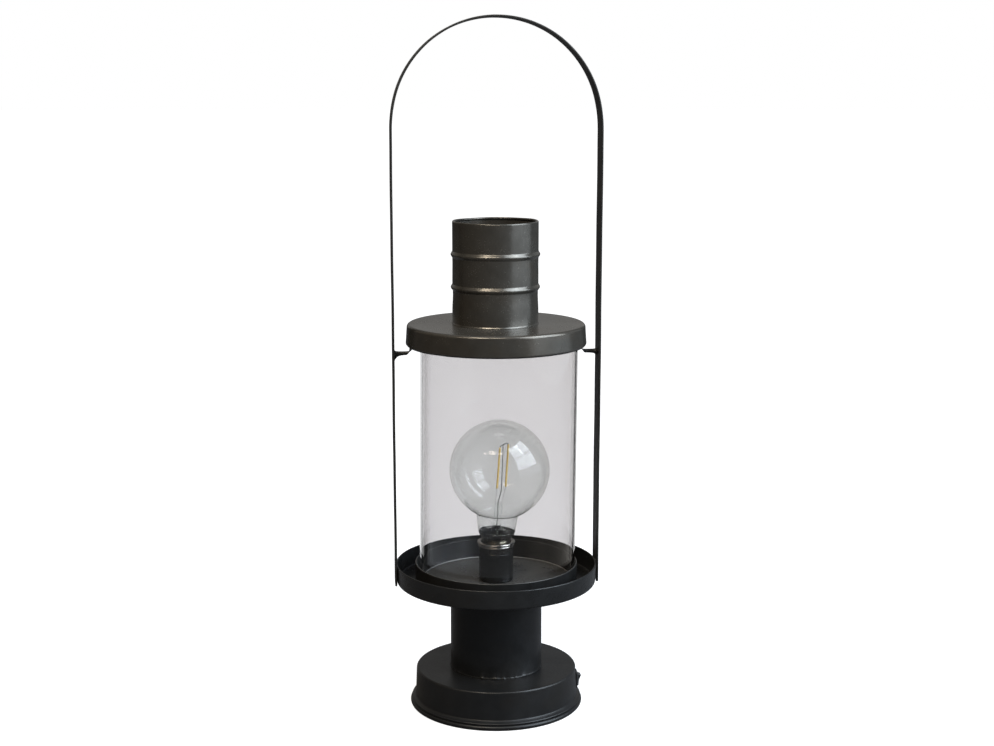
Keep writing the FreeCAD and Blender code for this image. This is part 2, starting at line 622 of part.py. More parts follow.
# earth stud under the drum's top, with ring lug and nut
write("earth_stud", cyl(2.0, 11.0, V(26.0, 30.0, 24.0 - 0.02)))
lug = cyl(4.2, 0.8, V(26.0, 30.0, 32.9)).fuse(box(16.0, 28.6, 32.9, 23.0, 31.4, 33.7)).cut(cyl(2.15, 3.0, V(26.0, 30.0, 32.0)))
write("earth_lug", lug)
hexe = [V(26.0 + 4.04 * math.cos(math.radians(60 * i)), 30.0 + 4.04 * math.sin(math.radians(60 * i)), 29.5) for i in range(7)]
write("earth_nut", Part.Face(Part.makePolygon(hexe)).extrude(V(0, 0, 3.2)).cut(cyl(2.06, 8.0, V(26.0, 30.0, 27.0))))

WR = 1.1
SWT = (SW_Z - 3.6, SW_Z + 3.6)      # heights of the two switch blades
# block to switch, switch to holder, block to holder, earth lug to block
write("lead_to_switch", tube([(-14.0, 11.8, 29.4), (-14.0, 2.0, 28.6), (4.0, -14.0, 24.0), (26.0, -12.0, 18.0), (44.0, -1.0, SWT[0]), (54.6, 0.0, SWT[0])],
                             WR, [4, 9, 9, 9]))
write("lead_live", tube([(54.6, 0.0, SWT[1]), (42.0, 1.0, SWT[1]), (22.0, 6.0, 22.0), (2.4, 0.0, 24.0), (1.7, 0.0, 46.0), (1.7, 0.0, 118.0), (6.2, 4.85, 129.5)][:5]
      + [(1.7, 0.0, 110.0), (1.75, 0.0, 128.9), (6.2, 4.85, 129.5)], WR, [7, 8, 5, 30, 40, 1.9]))
write("lead_neutral", tube([(-30.0, 11.8, 29.4), (-30.0, 3.0, 27.0), (-14.0, -5.0, 22.0), (-2.4, 0.0, 24.0), (-1.7, 0.0, 46.0), (-1.7, 0.0, 110.0), (-1.75, 0.0, 128.9),
                            (-6.2, 4.85, 129.5)], WR, [4, 7, 5, 30, 40, 1.9]))
write("lead_earth", tube([(15.9, 30.0, 33.3), (4.0, 30.0, 32.0), (-12.0, 36.0, 29.4), (-22.0, 34.0, 29.4), (-22.0, 26.2, 29.4)], WR, [8, 8, 4]))
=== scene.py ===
import bpy
import math
import numpy as np
from mathutils import Vector, Matrix


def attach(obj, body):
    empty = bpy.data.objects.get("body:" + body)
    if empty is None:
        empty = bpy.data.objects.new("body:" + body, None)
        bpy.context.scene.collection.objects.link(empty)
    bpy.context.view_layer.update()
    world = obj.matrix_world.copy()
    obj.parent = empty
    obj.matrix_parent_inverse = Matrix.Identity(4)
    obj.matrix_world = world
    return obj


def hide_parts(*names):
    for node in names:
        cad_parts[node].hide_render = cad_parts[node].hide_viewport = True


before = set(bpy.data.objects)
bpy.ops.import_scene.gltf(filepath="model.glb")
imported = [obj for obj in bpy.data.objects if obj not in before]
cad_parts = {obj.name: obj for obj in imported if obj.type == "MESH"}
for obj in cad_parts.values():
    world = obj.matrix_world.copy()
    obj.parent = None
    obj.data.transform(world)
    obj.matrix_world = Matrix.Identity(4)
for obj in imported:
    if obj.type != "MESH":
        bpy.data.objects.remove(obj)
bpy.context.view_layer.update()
scene = bpy.context.scene
MM = 0.001
TAU = 2 * math.pi

# ---------------------------------------------------------------------------
# Camera: 994 x 746, about 10 degrees down, 5 degrees to the left of the front
# ---------------------------------------------------------------------------
F_PX, TILT, AZ, DIST, HIGH = 1656.2, math.radians(10.134), math.radians(5.0), 1.5416, 0.6000
cam_data = bpy.data.cameras.new("camera")
cam_data.sensor_fit = "HORIZONTAL"
cam_data.sensor_width = 36.0
cam_data.lens = F_PX / 994.0 * 36.0
cam_data.clip_start, cam_data.clip_end = 0.05, 100.0
cam = bpy.data.objects.new("camera", cam_data)
scene.collection.objects.link(cam)
look = Vector((math.sin(AZ) * math.cos(TILT), math.cos(AZ) * math.cos(TILT), -math.sin(TILT)))
right = Vector((math.cos(AZ), -math.sin(AZ), 0))
cam.location = Vector((-DIST * math.sin(AZ), -DIST * math.cos(AZ), HIGH)) + right * 0.00087
cam.rotation_mode = "QUATERNION"
cam.rotation_quaternion = look.to_track_quat("-Z", "Y")
scene.camera = cam

scene.view_settings.view_transform = "Standard"
scene.view_settings.look = "None"
scene.view_settings.exposure = 0.0
scene.view_settings.gamma = 1.0
cy = scene.cycles
cy.max_bounces = 20
cy.transmission_bounces = 18
cy.glossy_bounces = 6
cy.diffuse_bounces = 3
cy.transparent_max_bounces = 24
cy.sample_clamp_indirect = 6.0
cy.blur_glossy = 0.3
cy.caustics_reflective = False
cy.caustics_refractive = False


# ---------------------------------------------------------------------------
# Node helpers
# ---------------------------------------------------------------------------
def new_mat(name):
    m = bpy.data.materials.new(name)
    m.use_nodes = True
    m.node_tree.nodes.clear()
    out = m.node_tree.nodes.new("ShaderNodeOutputMaterial")
    return m, m.node_tree, out


def nd(nt, kind, **kw):
    n = nt.nodes.new(kind)
    for k, v in kw.items():
        setattr(n, k, v)
    return n


def noise(nt, vec, scale, detail=3.0, rough=0.5, distort=0.0):
    n = nd(nt, "ShaderNodeTexNoise")
    n.inputs["Scale"].default_value = scale
    n.inputs["Detail"].default_value = detail
    n.inputs["Roughness"].default_value = rough
    n.inputs["Distortion"].default_value = distort
    nt.links.new(vec, n.inputs["Vector"])
    return n.outputs["Fac"]


def maprange(nt, val, a, b, c, d):
    n = nd(nt, "ShaderNodeMapRange")
    for k, v in zip(("From Min", "From Max", "To Min", "To Max"), (a, b, c, d)):
        n.inputs[k].default_value = v
    nt.links.new(val, n.inputs["Value"])
    return n.outputs["Result"]


def math_(nt, op, a, b=None, clamp=False):
    n = nd(nt, "ShaderNodeMath", operation=op, use_clamp=clamp)
    for i, v in enumerate((a, b)):
        if v is None:
            continue
        if isinstance(v, (int, float)):
            n.inputs[i].default_value = v
        else:
            nt.links.new(v, n.inputs[i])
    return n.outputs[0]


def mixcol(nt, fac, a, b):
    n = nd(nt, "ShaderNodeMix", data_type="RGBA")
    if isinstance(fac, (int, float)):
        n.inputs["Factor"].default_value = fac
    else:
        nt.links.new(fac, n.inputs["Factor"])
    for i, v in ((6, a), (7, b)):
        if isinstance(v, (tuple, list)):
            n.inputs[i].default_value = (*v[:3], 1)
        else:
            nt.links.new(v, n.inputs[i])
    return n.outputs[2]


def bump(nt, height, dist, strength=1.0, normal=None):
    n = nd(nt, "ShaderNodeBump")
    n.inputs["Strength"].default_value = strength
    n.inputs["Distance"].default_value = dist
    nt.links.new(height, n.inputs["Height"])
    if normal is not None:
        nt.links.new(normal, n.inputs["Normal"])
    return n.outputs["Normal"]


def ring_vec(nt, obj_vec):
    """(radius, 0, height): a texture that runs round the axis in rings, as on spun metal."""
    s = nd(nt, "ShaderNodeSeparateXYZ")
    nt.links.new(obj_vec, s.inputs[0])
    rr = math_(nt, "SQRT", math_(nt, "ADD", math_(nt, "MULTIPLY", s.outputs[0], s.outputs[0]), math_(nt, "MULTIPLY", s.outputs[1], s.outputs[1])))
    c = nd(nt, "ShaderNodeCombineXYZ")
    nt.links.new(rr, c.inputs[0])
    nt.links.new(s.outputs[2], c.inputs[2])
    return c.outputs[0]


def stretch(nt, vec, sx, sy, sz):
    m = nd(nt, "ShaderNodeMapping")
    m.inputs["Scale"].default_value = (sx, sy, sz)
    nt.links.new(vec, m.inputs["Vector"])
    return m.outputs[0]


# ---------------------------------------------------------------------------
# Materials
# ---------------------------------------------------------------------------
def iron(name, dark, light, tint, r0, r1, metallic, spec=0.5, rings=0.5, dents=1.0, painted_floor_light=None, edge=None):
    """Blackened sheet iron with a thin wax finish: mottled tone, fine grain, rings from spinning, small rubbed spots;
    where asked, also a painted highlight on the floor inside the gallery and a painted highlight along an upper edge.
    """
    m, nt, out = new_mat(name)
    tc = nd(nt, "ShaderNodeTexCoord").outputs["Object"]
    big = noise(nt, tc, 13, 3, 0.55)
    mid = noise(nt, tc, 70, 5, 0.6, 0.4)
    fine = noise(nt, tc, 520, 3, 0.6)
    grain = noise(nt, tc, 2600, 2, 0.5)
    rv = ring_vec(nt, tc)
    rg = noise(nt, rv, 900, 3, 0.7)
    mot = math_(nt, "ADD", math_(nt, "MULTIPLY", big, 0.5), math_(nt, "MULTIPLY", mid, 0.5))
    fac = maprange(nt, mot, 0.36, 0.64, 0.0, 1.0)
    col = mixcol(nt, fac, dark, light)
    warm = maprange(nt, noise(nt, tc, 21, 4, 0.6, 0.8), 0.47, 0.72, 0.0, 0.55)
    col = mixcol(nt, warm, col, tint)
    # pale rubbed specks, few and small
    rub = maprange(nt, noise(nt, stretch(nt, tc, 1, 1, 0.35), 330, 4, 0.75), 0.72, 0.84, 0.0, 0.12)
    col = mixcol(nt, rub, col, (0.16, 0.155, 0.145))
    if painted_floor_light:
        # painted highlight: the floor inside the gallery is given a paler colour so that it shows as a light band
        s = nd(nt, "ShaderNodeSeparateXYZ")
        nt.links.new(rv, s.inputs[0])
        f = math_(nt, "MULTIPLY", maprange(nt, s.outputs[0], 0.0745, 0.0775, 1.0, 0.0), maprange(nt, s.outputs[2], 0.1221, 0.1223, 0.0, 1.0))
        col = mixcol(nt, f, col, mixcol(nt, fac, painted_floor_light[0], painted_floor_light[1]))
    if edge:
        # painted highlight: the upper edge is coloured lighter above the given height, along a slightly wavy border
        s = nd(nt, "ShaderNodeSeparateXYZ")
        nt.links.new(tc, s.inputs[0])
        painted_highlight_z = math_(nt, "ADD", s.outputs[2], math_(nt, "MULTIPLY", math_(nt, "SUBTRACT", noise(nt, tc, 60, 3, 0.6), 0.5), 0.0004))
        col = mixcol(nt, maprange(nt, painted_highlight_z, edge - 0.0002, edge + 0.0001, 0.0, 1.0), col, (0.045, 0.0445, 0.043))
    rough = math_(nt, "ADD", maprange(nt, mot, 0.34, 0.66, r0, r1), maprange(nt, fine, 0.3, 0.7, -0.035, 0.035))
    p = nd(nt, "ShaderNodeBsdfPrincipled")
    nt.links.new(col, p.inputs["Base Color"])
    nt.links.new(rough, p.inputs["Roughness"])
    p.inputs["Metallic"].default_value = metallic
    p.inputs["Specular IOR Level"].default_value = spec
    n1 = bump(nt, noise(nt, tc, 36, 2, 0.4), 0.0011 * dents, 0.5)
    n2 = bump(nt, math_(nt, "ADD", fine, math_(nt, "MULTIPLY", rg, rings)), 0.00002, 0.3, n1)
    n3 = bump(nt, grain, 0.000005, 0.3, n2)
    nt.links.new(n3, p.inputs["Normal"])
    nt.links.new(p.outputs[0], out.inputs[0])
    return m


def plain(name, c1, c2, r0, r1, metallic=0.0, scale=120, bump_d=0.00004, bump_s=600, spec=0.5, coat=0.0):
    m, nt, out = new_mat(name)
    tc = nd(nt, "ShaderNodeTexCoord").outputs["Object"]
    a = noise(nt, tc, scale, 4, 0.6)
    b = noise(nt, tc, bump_s, 3, 0.6)
    p = nd(nt, "ShaderNodeBsdfPrincipled")
    nt.links.new(mixcol(nt, maprange(nt, a, 0.35, 0.65, 0, 1), c1, c2), p.inputs["Base Color"])
    nt.links.new(maprange(nt, b, 0.3, 0.7, r0, r1), p.inputs["Roughness"])
    p.inputs["Metallic"].default_value = metallic
    p.inputs["Specular IOR Level"].default_value = spec
    if coat:
        p.inputs["Coat Weight"].default_value = coat
        p.inputs["Coat Roughness"].default_value = 0.12
    nt.links.new(bump(nt, b, bump_d, 0.6), p.inputs["Normal"])
    nt.links.new(p.outputs[0], out.inputs[0])
    return m


def glass(name, col_a, col_b, ior, through, via_glossy, band=None):
    """Clear or tinted glass. Rays from the lamps and from matt or shiny pieces pass straight through it."""
    m, nt, out = new_mat(name)
    tc = nd(nt, "ShaderNodeTexCoord").outputs["Object"]
    a = noise(nt, tc, 16, 3, 0.5)
    p = nd(nt, "ShaderNodeBsdfPrincipled")
    col = mixcol(nt, maprange(nt, a, 0.35, 0.65, 0, 1), col_a, col_b)
    if band:
        # z range over which the glass is tinted dark, measured up the leaning neck
        z0, z1, dark, light = band
        s = nd(nt, "ShaderNodeSeparateXYZ")
        nt.links.new(tc, s.inputs[0])
        up = math_(nt, "ADD", math_(nt, "MULTIPLY", s.outputs[2], math.cos(math.radians(2.7))), math_(nt, "MULTIPLY", s.outputs[0], math.sin(math.radians(2.7))))
        up = math_(nt, "ADD", up, math_(nt, "MULTIPLY", math_(nt, "SUBTRACT", noise(nt, tc, 260, 2, 0.5), 0.5), 0.0016))
        f = maprange(nt, up, z1 - 0.0006, z1, 1.0, 0.0)
        # pale streaks that run round it in the dark tint, a painted highlight; the bump further down also waves the
        # surface there
        sw = noise(nt, stretch(nt, tc, 1.0, 1.0, 3.2), 150, 3, 0.6, 1.5)
        dark = mixcol(nt, maprange(nt, sw, 0.49, 0.60, 0.0, 1.0), dark, light)
        col = mixcol(nt, f, col, dark)
    nt.links.new(col, p.inputs["Base Color"])
    p.inputs["Roughness"].default_value = 0.0
    p.inputs["IOR"].default_value = ior
    p.inputs["Transmission Weight"].default_value = 1.0
    nrm = bump(nt, noise(nt, tc, 24, 2, 0.4), 0.00035, 0.25)
    if band:
        nrm = bump(nt, math_(nt, "MULTIPLY", f, sw), 0.0016, 0.9, nrm)
    nt.links.new(nrm, p.inputs["Normal"])
    t = nd(nt, "ShaderNodeBsdfTransparent")
    t.inputs["Color"].default_value = (*through, 1)
    lp = nd(nt, "ShaderNodeLightPath")
    sh = p.outputs[0]
    # a ray that has just been bent counts as glossy too, so bent rays are set back to the glass
    kinds = ["Is Diffuse Ray"] + (["Is Glossy Ray", "Is Transmission Ray"] if via_glossy else []) + ["Is Shadow Ray"]
    for k in kinds:
        mx = nd(nt, "ShaderNodeMixShader")
        nt.links.new(lp.outputs[k], mx.inputs[0])
        nt.links.new(sh, mx.inputs[1])
        nt.links.new(p.outputs[0] if k == "Is Transmission Ray" else t.outputs[0], mx.inputs[2])
        sh = mx.outputs[0]
    nt.links.new(sh, out.inputs[0])
    return m


M = {}
M["upper"] = iron("burnished_iron", (0.060, 0.056, 0.049), (0.082, 0.077, 0.068), (0.076, 0.062, 0.047), 0.20, 0.27, 0.65, 0.5, 0.3, 0.45)
M["lower"] = iron("black_iron", (0.0082, 0.0086, 0.0090), (0.0138, 0.0143, 0.0150), (0.013, 0.0112, 0.009), 0.30, 0.40, 0.3, 0.31, 0.3, 0.35)
# tray_iron: the last two colours are a painted highlight, a paler floor inside the gallery
M["tray"] = iron("tray_iron", (0.0085, 0.0089, 0.0092), (0.0145, 0.0150, 0.0156), (0.014, 0.012, 0.0095), 0.26, 0.36, 0.35, 0.42, 0.3, 0.7, ((0.074, 0.075, 0.073), (0.105, 0.106, 0.102)))
# ring_iron: 0.1404 is the height above which the top edge gets a painted highlight
M["ring"] = iron("ring_iron", (0.012, 0.0124, 0.0127), (0.020, 0.0205, 0.021), (0.019, 0.016, 0.0125), 0.28, 0.38, 0.4, 0.45, 0.3, 0.7, None, 0.1404)
M["strap"] = iron("strap_iron", (0.016, 0.016, 0.0155), (0.028, 0.028, 0.0265), (0.026, 0.022, 0.017), 0.34, 0.46, 0.4, 0.42, 0.0, 0.15)
M["weld"] = iron("weld_iron", (0.020, 0.020, 0.020), (0.040, 0.040, 0.038), (0.05, 0.046, 0.04), 0.34, 0.52, 0.5, 0.5, 0.0, 2.0)
M["glass"] = glass("smoke_glass", (0.716, 0.704, 0.708), (0.722, 0.711, 0.715), 1.28, (0.92, 0.92, 0.92), True)
# clear_glass: the band's last two colours are a dark tint at the neck and the pale streaks of a painted highlight
M["bulb"] = glass("clear_glass", (0.890, 0.905, 0.893), (0.905, 0.916, 0.906), 1.42, (0.95, 0.95, 0.95), False, (0.1672, 0.1706, (0.004, 0.004, 0.0035), (0.50, 0.51, 0.50)))
M["ground"] = plain("ground_glass_edge", (0.30, 0.305, 0.30), (0.40, 0.405, 0.40), 0.35, 0.5, 0.0, 300, 0.00003, 900)
M["stem"] = glass("stem_glass", (0.93, 0.95, 0.94), (0.97, 0.98, 0.97), 1.14, (0.9, 0.9, 0.9), False)
M["bakelite"] = plain("black_bakelite", (0.0085, 0.0088, 0.0090), (0.0115, 0.0119, 0.0122), 0.20, 0.26, 0.0, 60, 0.000004, 500, 0.6)
M["collar"] = plain("black_bakelite_collar", (0.015, 0.0145, 0.014), (0.021, 0.0203, 0.0195), 0.22, 0.28, 0.0, 60, 0.000004, 500, 0.6)
M["chrome"] = plain("chrome_trim", (0.46, 0.44, 0.41), (0.60, 0.58, 0.55), 0.05, 0.10, 1.0, 120, 0.00002, 300)
M["nickel"] = plain("nickel_cap", (0.17, 0.16, 0.125), (0.25, 0.235, 0.19), 0.16, 0.28, 1.0, 220, 0.00003, 500)
M["vitrite"] = plain("black_vitrite", (0.01, 0.01, 0.011), (0.02, 0.02, 0.022), 0.15, 0.3)
M["solder"] = plain("solder_tip", (0.45, 0.45, 0.46), (0.6, 0.6, 0.6), 0.28, 0.45, 1.0, 300, 0.00006, 900)
M["wire"] = plain("dark_wire", (0.018, 0.017, 0.018), (0.05, 0.048, 0.05), 0.3, 0.45, 0.6, 400)
M["led"] = plain("filament_yellow", (0.90, 0.63, 0.19), (0.97, 0.73, 0.28), 0.45, 0.6, 0.0, 900, 0.00003, 2500)
M["board"] = plain("board_green", (0.02, 0.10, 0.05), (0.03, 0.14, 0.07), 0.35, 0.5)
M["zinc"] = plain("zinc_steel", (0.42, 0.41, 0.38), (0.55, 0.54, 0.50), 0.28, 0.42, 1.0, 160)
M["rubber"] = plain("black_rubber", (0.014, 0.014, 0.014), (0.022, 0.022, 0.022), 0.6, 0.75, 0.0, 200, 0.00006, 900)
M["ceramic"] = plain("white_ceramic", (0.74, 0.72, 0.67), (0.82, 0.80, 0.76), 0.35, 0.55, 0.0, 80, 0.00005, 500)
M["brass"] = plain("brass_contact", (0.62, 0.44, 0.17), (0.72, 0.53, 0.23), 0.22, 0.38, 1.0, 200)
M["switch"] = plain("switch_black", (0.010, 0.010, 0.011), (0.017, 0.017, 0.018), 0.28, 0.40, 0.0, 150, 0.00004, 1500)
M["plastic"] = plain("white_plastic", (0.72, 0.72, 0.70), (0.80, 0.80, 0.78), 0.35, 0.5)
M["brown"] = plain("lead_brown", (0.10, 0.045, 0.02), (0.15, 0.07, 0.03), 0.4, 0.55)
M["blue"] = plain("lead_blue", (0.02, 0.09, 0.36), (0.03, 0.13, 0.46), 0.4, 0.55)
M["green"] = plain("lead_green", (0.42, 0.46, 0.03), (0.03, 0.30, 0.06), 0.4, 0.55, 0.0, 160)


def felt_mat():
    m, nt, out = new_mat("felt")
    tc = nd(nt, "ShaderNodeTexCoord").outputs["Object"]
    a = noise(nt, tc, 900, 6, 0.75, 1.5)
    b = noise(nt, stretch(nt, tc, 1, 0.3, 1), 1700, 4, 0.7, 2.0)
    mot = math_(nt, "ADD", math_(nt, "MULTIPLY", a, 0.5), math_(nt, "MULTIPLY", b, 0.5))
    p = nd(nt, "ShaderNodeBsdfPrincipled")
    nt.links.new(mixcol(nt, maprange(nt, mot, 0.35, 0.65, 0, 1), (0.008, 0.008, 0.009), (0.040, 0.040, 0.042)), p.inputs["Base Color"])
    p.inputs["Roughness"].default_value = 0.95
    p.inputs["Specular IOR Level"].default_value = 0.2
    p.inputs["Sheen Weight"].default_value = 0.35
    nt.links.new(bump(nt, mot, 0.0005, 0.9), p.inputs["Normal"])
    nt.links.new(p.outputs[0], out.inputs[0])
    return m


M["felt"] = felt_mat()


# ---------------------------------------------------------------------------
# Outline helpers (millimetres)
# ---------------------------------------------------------------------------
def poly(verts, seg=6, sup=0.4, step=None):
    """A path of straight runs with rounded corners as points, with a close extra point beside each corner so that flat runs shade flat."""
    n = len(verts)
    marks = [(verts[0][0], verts[0][1])]
    runs = []
    start = verts[0][:2]
    arcs = []
    for i in range(1, n - 1):
        px, pz = verts[i - 1][:2]
        x, z = verts[i][:2]
        fr = verts[i][2] if len(verts[i]) > 2 else 0.0
        nx, nz = verts[i + 1][:2]
        l1 = math.hypot(x - px, z - pz)
        l2 = math.hypot(nx - x, nz - z)
        d1 = ((x - px) / l1, (z - pz) / l1)
        d2 = ((nx - x) / l2, (nz - z) / l2)
        cr = d1[0] * d2[1] - d1[1] * d2[0]
        phi = math.acos(max(-1.0, min(1.0, d1[0] * d2[0] + d1[1] * d2[1])))
        if fr <= 0.02 or phi < 1e-4:
            arcs.append([(x, z)])
            continue
        tl = min(fr * math.tan(phi / 2), 0.49 * l1 if i > 1 else 0.98 * l1, 0.49 * l2 if i < n - 2 else 0.98 * l2)
        fr = tl / math.tan(phi / 2)
        a = (x - d1[0] * tl, z - d1[1] * tl)
        s = 1.0 if cr > 0 else -1.0
        c = (a[0] - s * d1[1] * fr, a[1] + s * d1[0] * fr)
        a0 = math.atan2(a[1] - c[1], a[0] - c[0])
        pts = []
        k = max(2, int(math.ceil(seg * max(0.35, phi / (math.pi / 2)))))
        for j in range(k + 1):
            t = a0 + s * phi * j / k
            pts.append((c[0] + fr * math.cos(t), c[1] + fr * math.sin(t)))
        arcs.append(pts)
    groups = [[tuple(verts[0][:2])]] + arcs + [[tuple(verts[-1][:2])]]
    out = []
    for g, h in zip(groups[:-1], groups[1:]):
        out += g
        p, q = g[-1], h[0]
        l = math.hypot(q[0] - p[0], q[1] - p[1])
        if l > 3 * sup:
            stops = [sup / l]
            if step and l > 2 * step:
                k = int(l / step)
                stops += [j / k for j in range(1, k)]
            stops.append(1 - sup / l)
            out += [(p[0] + (q[0] - p[0]) * f, p[1] + (q[1] - p[1]) * f) for f in stops]
    out += groups[-1]
    return out


def offset(verts, t):
    """The path moved to its left by t, with its corner radii changed to suit."""
    n = len(verts)
    dirs = []
    for i in range(n - 1):
        x0, z0 = verts[i][:2]
        x1, z1 = verts[i + 1][:2]
        l = math.hypot(x1 - x0, z1 - z0)
        dirs.append(((x1 - x0) / l, (z1 - z0) / l))
    res = []
    for i in range(n):
        x, z = verts[i][:2]
        fr = verts[i][2] if len(verts[i]) > 2 else 0.0
        if i == 0 or i == n - 1:
            d = dirs[0] if i == 0 else dirs[-1]
            res.append((x - d[1] * t, z + d[0] * t, 0.0))
            continue
        d1, d2 = dirs[i - 1], dirs[i]
        n1 = (-d1[1], d1[0])
        n2 = (-d2[1], d2[0])
        k = t / (1.0 + n1[0] * n2[0] + n1[1] * n2[1])
        cr = d1[0] * d2[1] - d1[1] * d2[0]
        f2 = (fr - t) if cr > 0 else (fr + t)
        res.append((x + (n1[0] + n2[0]) * k, z + (n1[1] + n2[1]) * k, max(f2, 0.05) if fr > 0.02 else 0.0))
    return res


def arc(cx, cz, r, a0, a1, k):
    return [(cx + r * math.cos(math.radians(a0 + (a1 - a0) * j / k)), cz + r * math.sin(math.radians(a0 + (a1 - a0) * j / k))) for j in range(k + 1)]


def closed(verts, seg=5, sup=0.3, step=None):
    """A closed outline with rounded corners."""
    v = [(*p[:2], p[2] if len(p) > 2 else 0.0) for p in verts]
    x0, z0 = (v[-1][0] + v[0][0]) / 2, (v[-1][1] + v[0][1]) / 2
    pts = poly([(x0, z0, 0)] + v + [(x0, z0, 0)], seg, sup, step)
    return pts[:-1]


def dedupe(loop):
    out = []
    for p in loop:
        if not out or math.hypot(p[0] - out[-1][0], p[1] - out[-1][1]) > 1e-4:
            out.append(p)
    if len(out) > 2 and math.hypot(out[0][0] - out[-1][0], out[0][1] - out[-1][1]) < 1e-4:
        out.pop()
    return out


# ---------------------------------------------------------------------------
# Mesh helpers
# ---------------------------------------------------------------------------
def make(name, verts, faces, sharp=48):
    v = np.asarray(verts, float) * MM
    me = bpy.data.meshes.new(name)
    me.from_pydata(v.tolist(), [], faces)
    me.validate()
    me.update()
    # outward faces: the signed volume has to be positive
    me.calc_loop_triangles()
    tri = np.array([t.vertices[:] for t in me.loop_triangles])
    co = np.array([x.co[:] for x in me.vertices])
    vol = np.einsum("ij,ij->i", co[tri[:, 0]], np.cross(co[tri[:, 1]], co[tri[:, 2]])).sum()
    if vol < 0:
        me.flip_normals()
    me.polygons.foreach_set("use_smooth", [True] * len(me.polygons))
    me.set_sharp_from_angle(angle=math.radians(sharp))
    me.update()
    o = bpy.data.objects.new(name, me)
    scene.collection.objects.link(o)
    return o


def lathe_data(loop, n, shift=None, on_axis=False):
    P = np.array(loop, float)
    if on_axis:
        mid = P[1:-1]
    else:
        mid = P
    m = len(mid)
    th = np.linspace(0, TAU, n, endpoint=False)
    r = np.repeat(mid[:, 0][None, :], n, 0)
    z = np.repeat(mid[:, 1][None, :], n, 0)
    t = np.repeat(th[:, None], m, 1)
    if shift:
        r, z = shift(r, z, t)
    v = np.stack([r * np.cos(t), r * np.sin(t), z], -1).reshape(-1, 3)
    faces = []
    last = m - 1 if on_axis else m
    for i in range(n):
        a, b = i * m, ((i + 1) % n) * m
        for j in range(last):
            k = (j + 1) % m
            faces.append((a + j, b + j, b + k, a + k))
    if on_axis:
        v = np.vstack([v, [[0, 0, P[0][1]], [0, 0, P[-1][1]]]])
        p0, p1 = n * m, n * m + 1
        for i in range(n):
            a, b = i * m, ((i + 1) % n) * m
            faces.append((p0, b, a))
            faces.append((p1, a + m - 1, b + m - 1))
    return v, faces


def lathe(name, loop, n=192, shift=None, on_axis=False, move=None, sharp=48):
    v, f = lathe_data(dedupe(loop) if not on_axis else loop, n, shift, on_axis)
    if move is not None:
        v = move(v)
    return make(name, v, f, sharp)


def sweep(name, rings, caps=True, sharp=48):
    """Loft through rings of equal point count."""
    k = len(rings[0])
    v = [p for r in rings for p in r]
    f = []
    for i in range(len(rings) - 1):
        for j in range(k):
            q = (j + 1) % k
            f.append((i * k + j, i * k + q, (i + 1) * k + q, (i + 1) * k + j))
    if caps:
        f.append(tuple(range(k))[::-1])
        f.append(tuple((len(rings) - 1) * k + j for j in range(k)))
    return make(name, v, f, sharp)


def join_data(parts):
    v, f, base = [], [], 0
    for pv, pf in parts:
        v += [tuple(p) for p in pv]
        f += [tuple(i + base for i in q) for q in pf]
        base += len(pv)
    return v, f


def tube_data(points, radius, k=12, bend=None, seg=6, ends=True):
    """A round wire along points in space, each inner corner rounded with radius bend."""
    pts = [Vector(p) for p in points]
    path = [pts[0]]
    for i in range(1, len(pts) - 1):
        a, b, c = pts[i - 1], pts[i], pts[i + 1]
        d1, d2 = (b - a).normalized(), (c - b).normalized()
        phi = d1.angle(d2)
        rb = bend[i - 1] if isinstance(bend, (list, tuple)) else (bend or 0.0)
        if rb <= 0 or phi < 1e-3:
            path.append(b)
            continue
        tl = min(rb * math.tan(phi / 2), 0.45 * (b - a).length, 0.45 * (c - b).length)
        rb = tl / math.tan(phi / 2)
        p = b - d1 * tl
        cen = b + (d2 - d1).normalized() * (rb / math.cos(phi / 2))
        axis = d1.cross(d2).normalized()
        for j in range(seg + 1):
            path.append(cen + Matrix.Rotation(phi * j / seg, 3, axis) @ (p - cen))
    path.append(pts[-1])
    rings = []
    t0 = (path[1] - path[0]).normalized()
    up = Vector((0, 0, 1)) if abs(t0.z) < 0.9 else Vector((1, 0, 0))
    nrm = (up - t0 * up.dot(t0)).normalized()
    prev = t0
    rad = []
    stations = list(path)
    for i, c in enumerate(stations):
        if i == 0:
            t = t0
        elif i == len(stations) - 1:
            t = (stations[i] - stations[i - 1]).normalized()
        else:
            t = ((stations[i + 1] - stations[i]).normalized() + (stations[i] - stations[i - 1]).normalized()).normalized()
        q = prev.rotation_difference(t)
        nrm = (q @ nrm).normalized()
        prev = t
        bn = t.cross(nrm)
        rings.append((c, t, nrm.copy(), bn))
    out = []
    spec = []
    if ends:
        c, t, a, b = rings[0]
        for s in (0.35, 0.75):
            spec.append((c + t * radius * (s - 1) * 0.6, a, b, radius * math.sin(math.acos(1 - s)) if s < 1 else radius))
    for c, t, a, b in rings:
        spec.append((c, a, b, radius))
    if ends:
        c, t, a, b = rings[-1]
        for s in (0.75, 0.35):
            spec.append((c + t * radius * (1 - s) * 0.6, a, b, radius * math.sin(math.acos(1 - s))))
    v, f = [], []
    for c, a, b, r in spec:
        for j in range(k):
            t = TAU * j / k
            v.append(tuple(c + (a * math.cos(t) + b * math.sin(t)) * r))
    for i in range(len(spec) - 1):
        for j in range(k):
            q = (j + 1) % k
            f.append((i * k + j, i * k + q, (i + 1) * k + q, (i + 1) * k + j))
    f.append(tuple(range(k))[::-1])
    f.append(tuple((len(spec) - 1) * k + j for j in range(k)))
    return v, f


